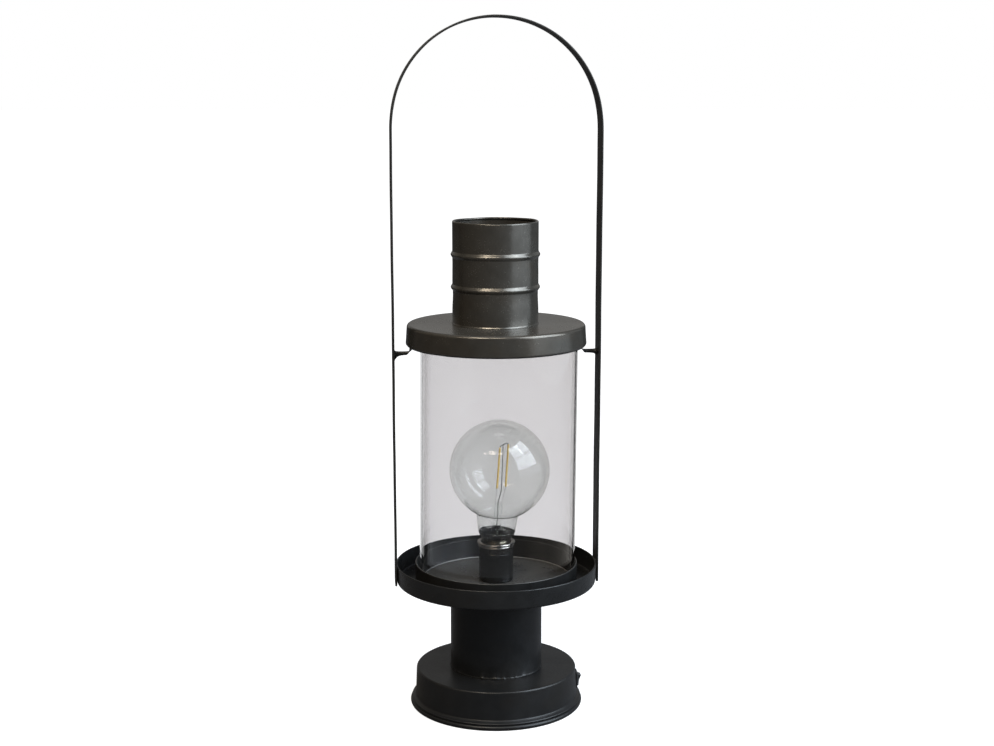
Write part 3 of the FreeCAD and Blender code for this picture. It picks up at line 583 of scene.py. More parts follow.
def rrect(hy, hz, r, k=5, y0=0.0, z0=0.0):
    pts = []
    for cx, cz, a0 in ((hy - r, hz - r, 0), (-(hy - r), hz - r, 90), (-(hy - r), -(hz - r), 180), (hy - r, -(hz - r), 270)):
        for j in range(k + 1):
            t = math.radians(a0 + 90 * j / k)
            pts.append((y0 + cx + r * math.cos(t), z0 + cz + r * math.sin(t)))
    return pts


def cutter(verts_faces):
    v, f = verts_faces
    me = bpy.data.meshes.new("cut")
    me.from_pydata((np.asarray(v, float) * MM).tolist(), [], f)
    me.update()
    o = bpy.data.objects.new("cut", me)
    scene.collection.objects.link(o)
    return o


def drill(obj, shapes, sharp=48):
    """Cuts closed shapes out of obj for good."""
    for s in shapes:
        c = cutter(s)
        md = obj.modifiers.new("b", "BOOLEAN")
        md.operation = "DIFFERENCE"
        md.solver = "EXACT"
        md.object = c
        dg = bpy.context.evaluated_depsgraph_get()
        me = bpy.data.meshes.new_from_object(obj.evaluated_get(dg))
        obj.modifiers.clear()
        old = obj.data
        obj.data = me
        bpy.data.meshes.remove(old)
        bpy.data.objects.remove(c)
    obj.data.polygons.foreach_set("use_smooth", [True] * len(obj.data.polygons))
    obj.data.set_sharp_from_angle(angle=math.radians(sharp))
    obj.data.update()
    return obj


def cyl_data(r, h, p, axis="z", k=48):
    v, f = [], []
    for e in (0, h):
        for j in range(k):
            t = TAU * j / k
            a, b = r * math.cos(t), r * math.sin(t)
            if axis == "z":
                v.append((p[0] + a, p[1] + b, p[2] + e))
            elif axis == "y":
                v.append((p[0] + b, p[1] + e, p[2] + a))
            else:
                v.append((p[0] + e, p[1] + a, p[2] + b))
    for j in range(k):
        q = (j + 1) % k
        f.append((j, q, k + q, k + j))
    f.append(tuple(range(k))[::-1])
    f.append(tuple(k + j for j in range(k)))
    return v, f


def box_data(x0, y0, z0, x1, y1, z1):
    v = [(x0, y0, z0), (x1, y0, z0), (x1, y1, z0), (x0, y1, z0), (x0, y0, z1), (x1, y0, z1), (x1, y1, z1), (x0, y1, z1)]
    f = [(3, 2, 1, 0), (4, 5, 6, 7), (0, 1, 5, 4), (1, 2, 6, 5), (2, 3, 7, 6), (3, 0, 4, 7)]
    return v, f


LEAN = math.radians(2.7)


def lean(v):
    v = np.asarray(v, float).copy()
    x, z = v[:, 0].copy(), v[:, 2] - 160.0
    v[:, 0] = x * math.cos(LEAN) + z * math.sin(LEAN)
    v[:, 2] = -x * math.sin(LEAN) + z * math.cos(LEAN) + 160.0
    return v


def done(o, body, nodes, mat):
    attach(o, body)
    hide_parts(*nodes)
    o.data.materials.clear()
    o.data.materials.append(M[mat])
    return o


def front(px):
    """World angle of a point seen px radians to the right of the front middle."""
    return math.radians(-95.0) + px


def wrap(t, c):
    return (t - c + math.pi) % TAU - math.pi


Q = 224  # steps round the large turned pieces

# ---------------------------------------------------------------------------
# Base
# ---------------------------------------------------------------------------
dp = [(8.0, 36.2, 0), (77.15, 36.2, 1.9), (78.2, 8.9, 1.3), (80.7, 7.0, 0)]
outer = poly(dp, 9, 0.5, 7.0)
inner = poly(offset(dp, -1.2), 7, 0.5, 12.0)
lip = arc(80.9, 6.05, 1.1, 74, -168, 18)
drum_loop = outer[:-1] + lip + inner[::-1][1:]


def drum_shift(r, z, t):
    w = np.clip((r - 20) / 60, 0, 1)
    r2 = r + w * (0.10 * np.sin(2 * t + 0.7) + 0.05 * np.sin(5 * t + z * 0.11 + 2.0))
    # the top is a little uneven near the weld
    z2 = z + np.where(z > 34.5, (0.10 * np.sin(3 * t + 0.5) + 0.07 * np.sin(7 * t + r * 0.09)) * np.clip((76 - r) / 20, 0, 1), 0)
    return r2, z2


drum = lathe("drum_shell", drum_loop, Q, drum_shift)
drill(drum, [box_data(66, -4.8, 11.35, 90, 4.8, 26.45), cyl_data(5.1, 30, (0, 62, 19.0), "y")])
done(drum, "root", ["base_drum"], "lower")

plate_loop = [(0, 3.6), (20, 3.6), (50, 3.6), (77.4, 3.6)] + arc(80.85, 2.45, 2.45, 152, -152 + 0, 34)[0:] + [(77.4, 2.6), (50, 2.6), (20, 2.6), (0, 2.6)]
plate = lathe("bottom_plate", plate_loop, Q, None, True)
posts_xy = [(58 * math.cos(math.radians(a)), 58 * math.sin(math.radians(a))) for a in (45, 165, 285)]
drill(plate, [cyl_data(2.2, 6, (x, y, 0.6), "z", 32) for x, y in posts_xy])
done(plate, "root", ["base_plate"], "lower")


def felt_shift(r, z, t):
    z2 = z + np.where(z < 1.0, 0.10 * np.abs(np.sin(9 * t + r * 0.31) * np.sin(r * 0.47 + 1)) + 0.02, 0)
    r2 = r + np.where(r > 77.0, 0.12 * np.sin(37 * t) + 0.10 * np.sin(91 * t + 1), 0)
    return r2, z2


fl = [(0, 0.0)] + [(x, 0.0) for x in np.arange(4, 76, 4.0)] + [(76.6, 0.05), (77.1, 0.35), (77.1, 2.2), (76.8, 2.52), (40, 2.54), (0, 2.54)]
felt = lathe("felt_disc", fl, 180, felt_shift, True)
drill(felt, [cyl_data(4.6, 8, (x, y, -2), "z", 40) for x, y in posts_xy])
done(felt, "root", ["base_felt"], "felt")

# ---------------------------------------------------------------------------
# Column with a hand-laid weld at its foot
# ---------------------------------------------------------------------------
col_loop = (
    poly([(42.8, 36.22, 0), (44.5, 36.22, 0.2), (44.35, 36.9, 0.4), (44.0, 37.7, 0.7), (44.0, 121.38, 0), (42.8, 121.38, 0)], 6, 0.4, 6.0)
    + [(42.8, 121.0), (42.8, 100.0), (42.8, 80.0), (42.8, 60.0), (42.8, 40.0), (42.8, 36.6)]
)
LUMPS = [(-0.31, 0.05, 0.75), (-0.20, 0.03, 0.35), (-0.015, 0.09, 0.85), (0.16, 0.035, 0.5), (0.66, 0.07, 0.55), (0.44, 0.03, 0.3), (-0.9, 0.06, 0.5),
         (1.3, 0.05, 0.6), (1.9, 0.07, 0.5), (2.5, 0.05, 0.7), (3.0, 0.08, 0.5), (-1.6, 0.05, 0.5), (-2.3, 0.07, 0.7)]


def col_shift(r, z, t):
    w = np.exp(-((z - 36.9) / 1.1) ** 2) * (r > 43.5)
    add = 0.05 * np.sin(41 * t) + 0.04 * np.sin(67 * t + 1.3) + 0.07 * np.sin(23 * t + 0.4)
    for a, s, h in LUMPS:
        add = add + h * np.exp(-(wrap(t, front(a)) / s) ** 2)
    z2 = z + np.where((z > 36.9) & (z < 39.5) & (r > 43.5), 0.9 * np.clip(add, -0.1, 1.0) * np.exp(-((z - 37.6) / 0.9) ** 2), 0)
    body = (r > 43.5) * np.clip((z - 40) / 20, 0, 1) * np.clip((121.4 - z) / 10, 0, 1)
    r2 = r + w * np.clip(add, -0.15, 0.9) + body * (0.07 * np.sin(2 * t + 1.0) + 0.04 * np.sin(4 * t + z * 0.05))
    return r2, z2


column = lathe("column", col_loop, 288, col_shift)
done(column, "root", ["column_tube"], "lower")

# ---------------------------------------------------------------------------
# Tray and gallery ring
# ---------------------------------------------------------------------------
tp = [(5.1, 121.4, 0), (95.6, 121.4, 2.4), (96.3, 139.18, 0)]
outer = poly(tp, 8, 0.5, 10.0)
ti = offset(tp, 1.0)
ti[-1] = (ti[-1][0], 138.55, 0)
inner = poly(ti, 7, 0.5, 10.0)
hem = arc(95.58, 139.18, 0.72, 0, 245, 14)
tray_loop = outer[:-1] + hem + inner[::-1][1:]


def tray_shift(r, z, t):
    w = np.clip((z - 122) / 17, 0, 1)
    r2 = r + w * (0.14 * np.sin(2 * t + 2.2) + 0.07 * np.sin(5 * t + 0.3)) - w * 0.05
    z2 = z + np.where((r < 92) & (r > 48), 0.09 * np.sin(3 * t + 0.2) * np.clip((92 - r) / 14, 0, 1) * np.clip((r - 48) / 10, 0, 1), 0)
    return r2, z2


tray = lathe("tray", tray_loop, Q, tray_shift)
done(tray, "root", ["tray_pan"], "tray")

gal = closed([(76.7, 122.42, 0.0), (78.15, 122.42, 0.25), (77.75, 123.3, 0.6), (77.7, 140.9, 0.4), (76.7, 140.9, 0.4), (76.7, 123.3, 0.6), (76.3, 122.42, 0.2)], 5, 0.4, 4.0)
gallery = lathe("gallery", gal, Q, lambda r, z, t: (r + np.clip((z - 123) / 17, 0, 1) * (0.06 * np.sin(2 * t + 0.4) + 0.04 * np.sin(3 * t)), z))
done(gallery, "root", ["gallery_ring"], "ring")

# ---------------------------------------------------------------------------
# Carrying strap
# ---------------------------------------------------------------------------
ARCH_R, ARCH_Z, HAUNCH_R, A0 = 97.5, 558.2, 123.0, math.radians(15.0)
C2X = (HAUNCH_R - ARCH_R) * math.cos(A0)
C2Z = ARCH_Z - (HAUNCH_R - ARCH_R) * math.sin(A0)
FOOT_X, FOOT_Z = 97.75, 120.6
LOW_X = HAUNCH_R - C2X
half = []
nleg = 30
for i in range(nleg):
    f = i / nleg
    half.append((FOOT_X + (LOW_X - FOOT_X) * f, FOOT_Z + (C2Z - FOOT_Z) * f, None))
ll = math.hypot(LOW_X - FOOT_X, C2Z - FOOT_Z)
leg_n = (-(C2Z - FOOT_Z) / ll, (LOW_X - FOOT_X) / ll)
path = [(p[0], p[1], leg_n[0], leg_n[1]) for p in half]
# closer stations at the foot, where the corners are cut round
extra = [(FOOT_X, FOOT_Z + d, leg_n[0], leg_n[1]) for d in (0.5, 1.1, 1.8, 2.6, 3.4)]
path = path[:1] + extra + path[1:]
for i in range(7):
    a = A0 * i / 7
    path.append((HAUNCH_R * math.cos(a) - C2X, C2Z + HAUNCH_R * math.sin(a), -math.cos(a), -math.sin(a)))
for i in range(41):
    a = A0 + (math.pi / 2 - A0) * i / 40
    path.append((ARCH_R * math.cos(a), ARCH_Z + ARCH_R * math.sin(a), -math.cos(a), -math.sin(a)))
mirror = [(-p[0], p[1], -p[2], p[3]) for p in path[:-1]]
stations = mirror + path[::-1]
HW, TH, ER = 13.5, 2.0, 0.6
corner = rrect(HW, TH / 2, ER, 4)   # (y, thickness)
section = []
for i, (y, q) in enumerate(corner):
    section.append((y, q))
    y2, q2 = corner[(i + 1) % len(corner)]
    if abs(y2 - y) > 5:   # points across the flats
        section += [(y + (y2 - y) * j / 12, q) for j in range(1, 12)]
rings = []
for i, (x, z, nx, nz) in enumerate(stations):
    d = z - FOOT_Z
    w = HW
    if d < 3.4:
        w = HW - (3.4 - math.sqrt(max(0.0, 3.4 ** 2 - (3.4 - d) ** 2))) * 0.8
    wob = 0.10 * math.sin(z * 0.031 + (1.0 if x > 0 else 2.7)) + 0.05 * math.sin(z * 0.083 + 0.5)
    ring = []
    for y, q in section:
        dep = TH / 2 - q        # 0 at the outer face
        dd = dep + 0.12 + wob * (1.0 if abs(x) > 60 else 0.5)
        yy = y * w / HW
        px, pz = x + nx * max(dd, 0.0), z + nz * max(dd, 0.0)
        if pz < 140.1:
            # dressed to the round of the tray
            px = math.copysign(max(abs(px), min(math.sqrt(96.42 ** 2 - yy * yy), FOOT_X - 0.9)), px)
        ring.append((px, yy, pz))
    rings.append(ring)
strap = sweep("carry_strap", rings)
done(strap, "root", ["handle_strap"], "strap")


# ---------------------------------------------------------------------------
# Wire hooks with their welds
# ---------------------------------------------------------------------------
def strap_in(z):
    lo = HAUNCH_R - TH - C2X
    f = (z - FOOT_Z) / (C2Z - FOOT_Z)
    return (FOOT_X - TH) + f * (lo - (FOOT_X - TH))


def hook(name, s, drop, node):
    R, Z0, LX, B, TOP = 1.85, 344.7, 79.9, 5.0, 361.5
    sx = strap_in(Z0) + 0.05
    cl = []
    for d in (0.0, 0.25, 0.6, 1.0, 1.5, 2.1, 2.8, 3.6, 4.6, 5.8, 7.2, 8.6):
        x = sx - d
        if x > LX + B + 0.2:
            cl.append((x, Z0, d, (-1, 0)))
    for j in range(11):
        t = math.radians(90 * j / 10)
        cl.append((LX + B - B * math.sin(t), Z0 + B - B * math.cos(t), 99, (-math.cos(t), math.sin(t))))
    for z in (352.5, 356.0, TOP - R):
        cl.append((LX, z, 99, (0, 1)))
    k = 20
    rings = []
    for x, z, d, tan in cl:
        nx, nz = -tan[1], tan[0]
        # normal that points down or outward is (nx, nz) turned so that nz < 0 on the level run
        if tan[0] < -0.5:
            nx, nz = tan[1], -abs(tan[0])
        else:
            nx, nz = tan[1], tan[0]
        ring = []
        up = R + (1.5 * math.exp(-d / 1.2) if d < 50 else 0)
        dn = R + (drop * math.exp(-(d / 2.0) ** 0.9) if d < 50 else 0)
        sd = R + (1.5 * math.exp(-d / 1.3) if d < 50 else 0)
        for j in range(k):
            a = TAU * j / k
            c, q = math.cos(a), math.sin(a)
            rad = dn if q > 0 else up
            lump = 1.0 + (0.06 * math.sin(5 * a + d * 3.0) if d < 3 else 0.0)
            narrow = 1.0 if q <= 0 else 1.0 - 0.35 * q * (1 - R / dn)
            ring.append((s * (x + nx * rad * q * lump), sd * c * narrow * lump, z + nz * rad * q * lump))
        rings.append(ring)
    for u in (25, 50, 72):
        c = math.cos(math.radians(u))
        zz = TOP - R + R * math.sin(math.radians(u))
        rings.append([(s * (LX + R * c * math.sin(TAU * j / k)), R * c * math.cos(TAU * j / k), zz) for j in range(k)])
    o = sweep(name, rings, True, 60)
    return done(o, "root", [node], "strap")


hook("hook_left", -1, 7.5, "bracket_left")
hook("hook_right", 1, 3.5, "bracket_right")

# ---------------------------------------------------------------------------
# Glass cylinder
# ---------------------------------------------------------------------------
gl = closed([(72.6, 122.7, 0.85), (74.6, 122.7, 0.85), (74.6, 370.8, 0.85), (72.6, 370.8, 0.85)], 6, 0.5, 40.0)


def glass_move(v):
    """Off centre in its ring and leaning by 0.45 degrees, with level ends."""
    v = np.asarray(v, float).copy()
    v[:, 0] += 0.9 + (v[:, 2] - 122.7) * math.tan(math.radians(0.45))
    return v


cylinder = lathe("glass_tube", gl, 256, lambda r, z, t: (r + 0.04 * np.sin(2 * t + z * 0.012) + 0.015 * np.sin(5 * t + z * 0.03), z), False, glass_move)
done(cylinder, "glass", ["glass_cylinder"], "glass")
# its lower edge is ground, not polished
cylinder.data.materials.append(M["ground"])
for f_ in cylinder.data.polygons:
    if max(cylinder.data.vertices[i].co.z for i in f_.vertices) < 0.12395:
        f_.material_index = 1

# ---------------------------------------------------------------------------
# Cap and chimney
# ---------------------------------------------------------------------------
cp = [(36.0, 372.3, 0), (83.9, 372.3, 3.0), (85.05, 353.5, 1.7), (83.55, 351.92, 0)]
outer = poly(cp, 10, 0.5, 6.0)
inner = poly(offset(cp, -1.2), 8, 0.5, 9.0)
cap_loop = outer + inner[::-1]


def cap_shift(r, z, t):
    r2 = r + np.clip((371.5 - z) / 18, 0, 1) * (0.16 * np.sin(2 * t + 1.4) + 0.08 * np.sin(5 * t + 0.9) + 0.05 * np.sin(9 * t))
    # a small knock in the lower edge of the skirt, left of the front
    dent = 0.75 * np.exp(-((wrap(t, front(-0.68))) / 0.055) ** 2 - ((z - 353.2) / 3.2) ** 2) * (z < 366)
    r2 = r2 - dent
    wv = np.clip((80 - r) / 15, 0, 1) * np.clip((r - 38) / 8, 0, 1) * (z > 365)
    z2 = z + wv * (0.10 * np.sin(2 * t + 0.3) + 0.05 * np.sin(4 * t + r * 0.08) - 0.05)
    return r2, z2


cap = lathe("cap_shell", cap_loop, Q, cap_shift)
done(cap, "cap", ["cap_lid"], "upper")

RC = 40.3
cv = [(40.85, 372.33, 0), (40.8, 372.75, 0.15), (40.58, 373.15, 0.2), (40.3, 373.7, 0.35)]
for zb, dr in ((406.7, 0.25), (437.4, 0.0)):
    cv += [(RC - dr, zb - 3.1, 1.3), (RC + 1.9, zb, 1.9), (RC, zb + 3.1, 1.3)]
cv += [(RC, 467.5, 0)]
outer = poly(cv, 12, 0.4, 3.0)
cvi = offset([(RC, 372.33, 0)] + cv[4:], 0.8)
cvi[-1] = (cvi[-1][0], 466.45, 0)
inner = poly(cvi, 8, 0.4, 6.0)
rim = arc(39.2, 467.5, 1.1, 0, 285, 18)
chim_loop = outer[:-1] + rim + inner[::-1]


def chim_shift(r, z, t):
    f = np.clip((z - 375) / 10, 0, 1)
    w = (0.16 * np.sin(2 * t + 0.6) + 0.08 * np.sin(3 * t + z * 0.02) + 0.05 * np.sin(5 * t + z * 0.045)) * f
    # slight waist under each bead, and a little bulge lower down
    w = w - 0.12 * np.exp(-((z - 428) / 7) ** 2) - 0.30 * np.exp(-((z - 399) / 6) ** 2) + 0.18 * np.exp(-((z - 384) / 7) ** 2)
    z2 = z + np.where(z > 464, 0.18 * np.sin(2 * t + 1.0) + 0.10 * np.sin(5 * t + 0.2), 0)
    return r + w, z2


chimney = lathe("chimney", chim_loop, Q, chim_shift, False, lambda v: np.asarray(v, float) + np.array([-0.7, 0.0, 0.0]))
done(chimney, "cap", ["chimney_tube"], "upper")

# ---------------------------------------------------------------------------
# Lampholder
# ---------------------------------------------------------------------------
hc = closed([(5.06, 122.45, 0.0), (16.5, 122.45, 1.8), (16.5, 150.5, 0.5), (15.0, 150.5, 0.1), (15.0, 124.85, 0.8), (5.06, 124.85, 0.0)], 6, 0.4, 4.0)
holder_cap = lathe("holder_body", hc, 192)
done(holder_cap, "root", ["holder_cap"], "bakelite")
hb = closed([(15.0, 150.65, 0.1), (15.7, 150.65, 0.1), (15.75, 151.0, 0.1), (16.55, 151.05, 0.35), (16.75, 156.4, 0.35), (15.0, 156.4, 0.1)], 6, 0.2)
holder_skirt = lathe("holder_collar", hb, 192)
done(holder_skirt, "root", ["holder_skirt"], "collar")
hr = closed([(14.75, 156.45, 0.3), (17.2, 156.45, 0.45), (17.6, 157.5, 0.5), (16.85, 158.2, 0.35), (17.75, 158.55, 0.5), (18.35, 159.2, 0.6), (18.35, 160.2, 0.7), (17.4, 161.0, 0.6), (14.75, 160.7, 0.5)], 8, 0.2)
holder_rim = lathe("holder_ring", hr, 192)
done(holder_rim, "root", ["holder_rim"], "chrome")

# ---------------------------------------------------------------------------
# Bulb
# ---------------------------------------------------------------------------
neck = [(15.2, 165.4), (16.6, 167.2), (17.9, 170.8), (18.7, 176.0), (19.4, 181.5), (20.3, 186.4)]
GR, GZ, GT = 48.0, 230.8, 0.5


def catmull(pts, k=6):
    out = []
    n = len(pts)
    for i in range(n - 1):
        p0 = pts[max(i - 1, 0)]
        p1, p2 = pts[i], pts[i + 1]
        p3 = pts[min(i + 2, n - 1)]
        for j in range(k):
            t = j / k
            q = []
            for c in (0, 1):
                q.append(0.5 * (2 * p1[c] + (-p0[c] + p2[c]) * t + (2 * p0[c] - 5 * p1[c] + 4 * p2[c] - p3[c]) * t * t + (-p0[c] + 3 * p1[c] - 3 * p2[c] + p3[c]) * t ** 3))
            out.append(tuple(q))
    out.append(tuple(pts[-1]))
    return out


def envelope(t):
    rr = GR - t
    a_end = math.asin((21.6 - t * 0.8) / rr)
    ball = [(rr * math.sin(a), GZ - rr * math.cos(a)) for a in np.linspace(a_end, math.pi, 64)]
    nk = [(r - t, z) for r, z in neck]
    # ease the neck into the globe
    pts = catmull(nk + [ball[0], ball[2]], 7)
    return pts[: -7] + ball


eo = envelope(0.0)
ei = envelope(GT)
env = [(0.0, GZ + GR)] + eo[::-1][1:] + [(13.6, 165.0), (12.2, 164.9), (12.0, 164.5), (12.0, 161.5), (12.0, 158.2), (11.8, 158.0), (11.4, 158.0), (11.2, 158.2), (11.2, 161.5), (11.2, 165.1), (11.6, 165.7), (12.8, 166.0)] + ei[1:-1] + [(0.0, GZ + GR - GT)]
globe = lathe("bulb_envelope", env, 160, lambda r, z, t: (r * (1 + 0.0010 * np.sin(2 * t + z * 0.04)), z), True, lean, 80)
done(globe, "bulb", ["bulb_globe"], "bulb")

PITCH = 3.629


def thread(r, z, t, z0, z1, height):
    ph = ((z - 148.6 - PITCH * t / TAU) / PITCH) % 1.0
    ridge = 0.5 - 0.5 * np.cos(TAU * ph)
    ridge = np.where(ph < 1, ridge ** 1.2, 0)
    fade = np.clip((z - z0) / 1.2, 0, 1) * np.clip((z1 - z) / 1.2, 0, 1)
    return r + height * ridge * fade


zs = np.arange(148.6, 162.4, 0.3)
bo = [(8.2, 147.05), (9.5, 147.1), (11.4, 147.35), (12.0, 147.7), (12.25, 148.2)] + [(12.3, z) for z in zs] + [(12.35, 162.6), (12.5, 163.1), (12.9, 163.4), (13.8, 163.45), (14.35, 163.6), (14.62, 163.9), (14.65, 164.5)]
bi = [(14.4, 164.5), (14.37, 164.1), (14.1, 163.8), (12.9, 163.68), (12.4, 163.5), (12.12, 163.1), (12.05, 162.6)] + [(12.03, z) for z in zs[::-1]] + [(12.0, 148.3), (11.8, 147.95), (11.3, 147.62), (9.5, 147.36), (8.2, 147.3)]
bcap = lathe("bulb_cap", bo + bi, 128, lambda r, z, t: (np.where(r > 11.9, thread(r, z, t, 148.0, 162.6, 0.72), r), z), False, None, 60)
done(bcap, "bulb", ["bulb_screw_cap"], "nickel")

# stem: a glass foot that narrows to a flat press, a dark support wire and two filaments
stem_prof = [(0, 162.0)] + closed([(0.6, 162.0, 0), (9.4, 162.0, 0.4), (9.4, 163.0, 0.35), (4.4, 168.5, 3.5), (3.1, 184.0, 3.0), (2.5, 191.0, 0.8), (0.6, 191.4, 0)], 6, 0.5, 4.0)
sp = poly([(0, 162.0, 0), (9.4, 162.0, 0.4), (9.4, 163.0, 0.35), (4.4, 168.5, 3.5), (3.1, 184.0, 3.0), (2.5, 191.0, 1.0), (0, 191.4, 0)], 6, 0.4, 4.0)


def stem_move(v):
    v = np.asarray(v, float).copy()
    # the upper end is squeezed flat: narrow across y, wide across x
    f = np.clip((v[:, 2] - 184.5) / 4.5, 0, 1)
    f = f * f * (3 - 2 * f)
    v[:, 0] = v[:, 0] * (1 + 0.55 * f) + 0.6 * f
    v[:, 1] = v[:, 1] * (1 - 0.5 * f)
    f2 = np.clip((v[:, 2] - 188.0) / 3.4, 0, 1)
    v[:, 2] = v[:, 2] + 7.0 * f2
    return lean(v)


stem = lathe("bulb_glass_stem", sp, 64, None, True, stem_move, 60)
done(stem, "bulb", ["bulb_stem"], "stem")

w1 = tube_data([(0.0, 0.0, 195.0), (0.2, 0.0, 199.0), (2.7, 0.0, 210.5), (2.3, 0.0, 256.0)], 0.34, 12, 1.5)
w1a = tube_data([(2.3, 0.0, 255.2), (1.0, -1.6, 254.9), (-0.85, -2.6, 253.4)], 0.26, 10, 0.8)
w1b = tube_data([(2.3, 0.0, 255.2), (5.0, 1.4, 256.2), (7.6, 2.6, 255.7)], 0.26, 10, 0.8)
w2 = tube_data([(-2.0, 0.0, 195.0), (-2.4, -0.6, 201.0), (-1.85, -2.6, 212.4)], 0.10, 10, 2.0)
w3 = tube_data([(3.4, 0.0, 195.0), (4.2, 0.6, 201.0), (6.9, 2.6, 213.2)], 0.10, 10, 2.0)
# the wire on down through the stem to the cap
w4 = tube_data([(0.3, 0.0, 165.0), (-0.2, 0.0, 176.0), (0.4, 0.0, 187.0), (0.0, 0.0, 195.2)], 0.30, 10, 6.0)
vv, ff = join_data([w1, w1a, w1b, w2, w3, w4])
wires = make("bulb_wires", lean(vv), ff, 70)
done(wires, "bulb", ["bulb_lead_wires"], "wire")


def rod(a, b, r, k=20):
    a, b = Vector(a), Vector(b)
    d = (b - a).normalized()
    l = (b - a).length
    u = d.cross(Vector((0, 1, 0))).normalized()
    w = d.cross(u)
    prof = [(0.0, 0.30), (0.15, 0.62 * r), (0.5, 0.80 * r), (1.0, 0.92 * r)]
    prof += [(x, r * (1.0 + 0.02 * math.sin(x * 2.1))) for x in np.linspace(1.6, l - 1.6, 44)]
    prof += [(l - 1.0, 0.92 * r), (l - 0.5, 0.80 * r), (l - 0.15, 0.62 * r), (l, 0.30)]
    v, f = [], []
    for h, rr in prof:
        for j in range(k):
            t = TAU * j / k
            v.append(tuple(a + d * h + (u * math.cos(t) + w * math.sin(t)) * rr))
    for i in range(len(prof) - 1):
        for j in range(k):
            q = (j + 1) % k
            f.append((i * k + j, i * k + q, (i + 1) * k + q, (i + 1) * k + j))
    f.append(tuple(range(k))[::-1])
    f.append(tuple((len(prof) - 1) * k + j for j in range(k)))
    return v, f


vv, ff = join_data([rod((-1.85, -2.6, 212.6), (-0.85, -2.6, 253.0), 0.95), rod((6.9, 2.6, 213.4), (7.6, 2.6, 255.4), 0.95)])
led = make("bulb_led_rods", lean(vv), ff, 70)
done(led, "bulb", ["bulb_filaments"], "led")

# ---------------------------------------------------------------------------
# Rocker switch
# ---------------------------------------------------------------------------
SZ = 18.9
loops = [(4.6, 7.35, 63.0, 0.5), (4.6, 7.35, 63.4, 0.7), (4.6, 7.35, 77.9, 0.7), (4.6, 7.35, 78.38, 0.7), (5.3, 7.9, 78.40, 1.0), (5.6, 8.2, 78.55, 1.2), (5.6, 8.2, 79.05, 1.2),
         (5.48, 8.08, 79.38, 1.15), (5.15, 7.75, 79.60, 1.0), (4.25, 7.2, 79.60, 0.6), (3.95, 6.9, 79.52, 0.5), (3.8, 6.75, 79.25, 0.4), (3.8, 6.75, 78.6, 0.4), (3.8, 6.75, 72.0, 0.4), (3.8, 6.75, 66.5, 0.4)]
rings = [[(x, y, SZ + z) for y, z in rrect(hy, hz, r, 6)] for hy, hz, x, r in loops]
housing = sweep("switch_frame", rings, True, 50)
done(housing, "root", ["switch_housing"], "switch")

PX = 77.2
out = [(4.35 + 0.65 * (abs(z) / 5.0) ** 1.6, z) for z in np.linspace(-5.0, 5.0, 21)]
side = poly([(5.0, 5.0, 0), (4.98, 5.45, 0.35), (0.0, 6.3, 1.5), (-3.2, 5.6, 0.5), (-4.2, 2.4, 0.5), (-4.2, 0.0, 0)], 5, 0.3)
outline = dedupe(out + side[1:] + [(x, -z) for x, z in side[::-1][1:-1]])
ctr = (-0.6, 0.0)
ct, st = math.cos(math.radians(12.5)), math.sin(math.radians(12.5))
rings = []
for y, ins in ((-3.5, 0.40), (-3.43, 0.20), (-3.28, 0.06), (-3.0, 0.0), (-1.2, 0.0), (1.2, 0.0), (3.0, 0.0), (3.28, 0.06), (3.43, 0.20), (3.5, 0.40)):
    ring = []
    for x, z in outline:
        dx, dz = ctr[0] - x, ctr[1] - z
        l = math.hypot(dx, dz)
        x2, z2 = x + dx / l * ins, z + dz / l * ins
        # turned so that the upper end stands out
        ring.append((PX + x2 * ct + z2 * st, y, SZ - x2 * st + z2 * ct))
    rings.append(ring)
rocker = sweep("switch_key", rings, True, 40)
done(rocker, "rocker", ["switch_rocker"], "switch")

# ---------------------------------------------------------------------------
# Cord bush at the back
# ---------------------------------------------------------------------------
bl = closed([(3.3, 69.0, 0.3), (5.0, 69.0, 0.3), (5.0, 78.37, 0.1), (7.0, 78.37, 0.4), (7.0, 81.0, 0.5), (6.2, 81.4, 0.3), (5.75, 82.2, 0.15), (5.9, 82.5, 0.15), (5.05, 83.75, 0.4), (3.3, 83.75, 0.5)], 5, 0.25, 3.0)


def to_back(v):
    v = np.asarray(v, float)
    return np.stack([v[:, 0], v[:, 2], 19.0 + v[:, 1]], -1)


bush = lathe("cord_inlet", bl, 96, lambda r, z, t: (np.where((r > 6.5) & (z > 78.6) & (z < 80.9), r - 0.18 * (0.5 + 0.5 * np.cos(24 * t)), r), z), False, to_back, 50)
done(bush, "root", ["cord_bush"], "rubber")

# ---------------------------------------------------------------------------
# Pieces kept as they are, with their finishes
# ---------------------------------------------------------------------------
KEPT = {
    "base_posts": "zinc", "base_plate_screws": "zinc", "lead_grommet": "rubber", "holder_nipple": "zinc", "nipple_washer": "zinc", "nipple_nut": "zinc",
    "holder_core": "ceramic", "holder_screw_shell": "nickel", "holder_tongue": "brass", "holder_terminal_screws": "brass", "switch_terminals": "brass",
    "cord_bush_nut": "rubber", "terminal_block": "plastic", "terminal_screws": "zinc", "earth_stud": "zinc", "earth_lug": "brass", "earth_nut": "zinc",
    "lead_to_switch": "brown", "lead_live": "brown", "lead_neutral": "blue", "lead_earth": "green", "bulb_tip_contact": "solder", "bulb_insulator": "vitrite",
    "bulb_driver_board": "board",
}
for n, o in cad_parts.items():
    if not o.hide_render:
        if n not in KEPT:
            raise RuntimeError("no finish for " + n)
        o.data.materials.clear()
        o.data.materials.append(M[KEPT[n]])


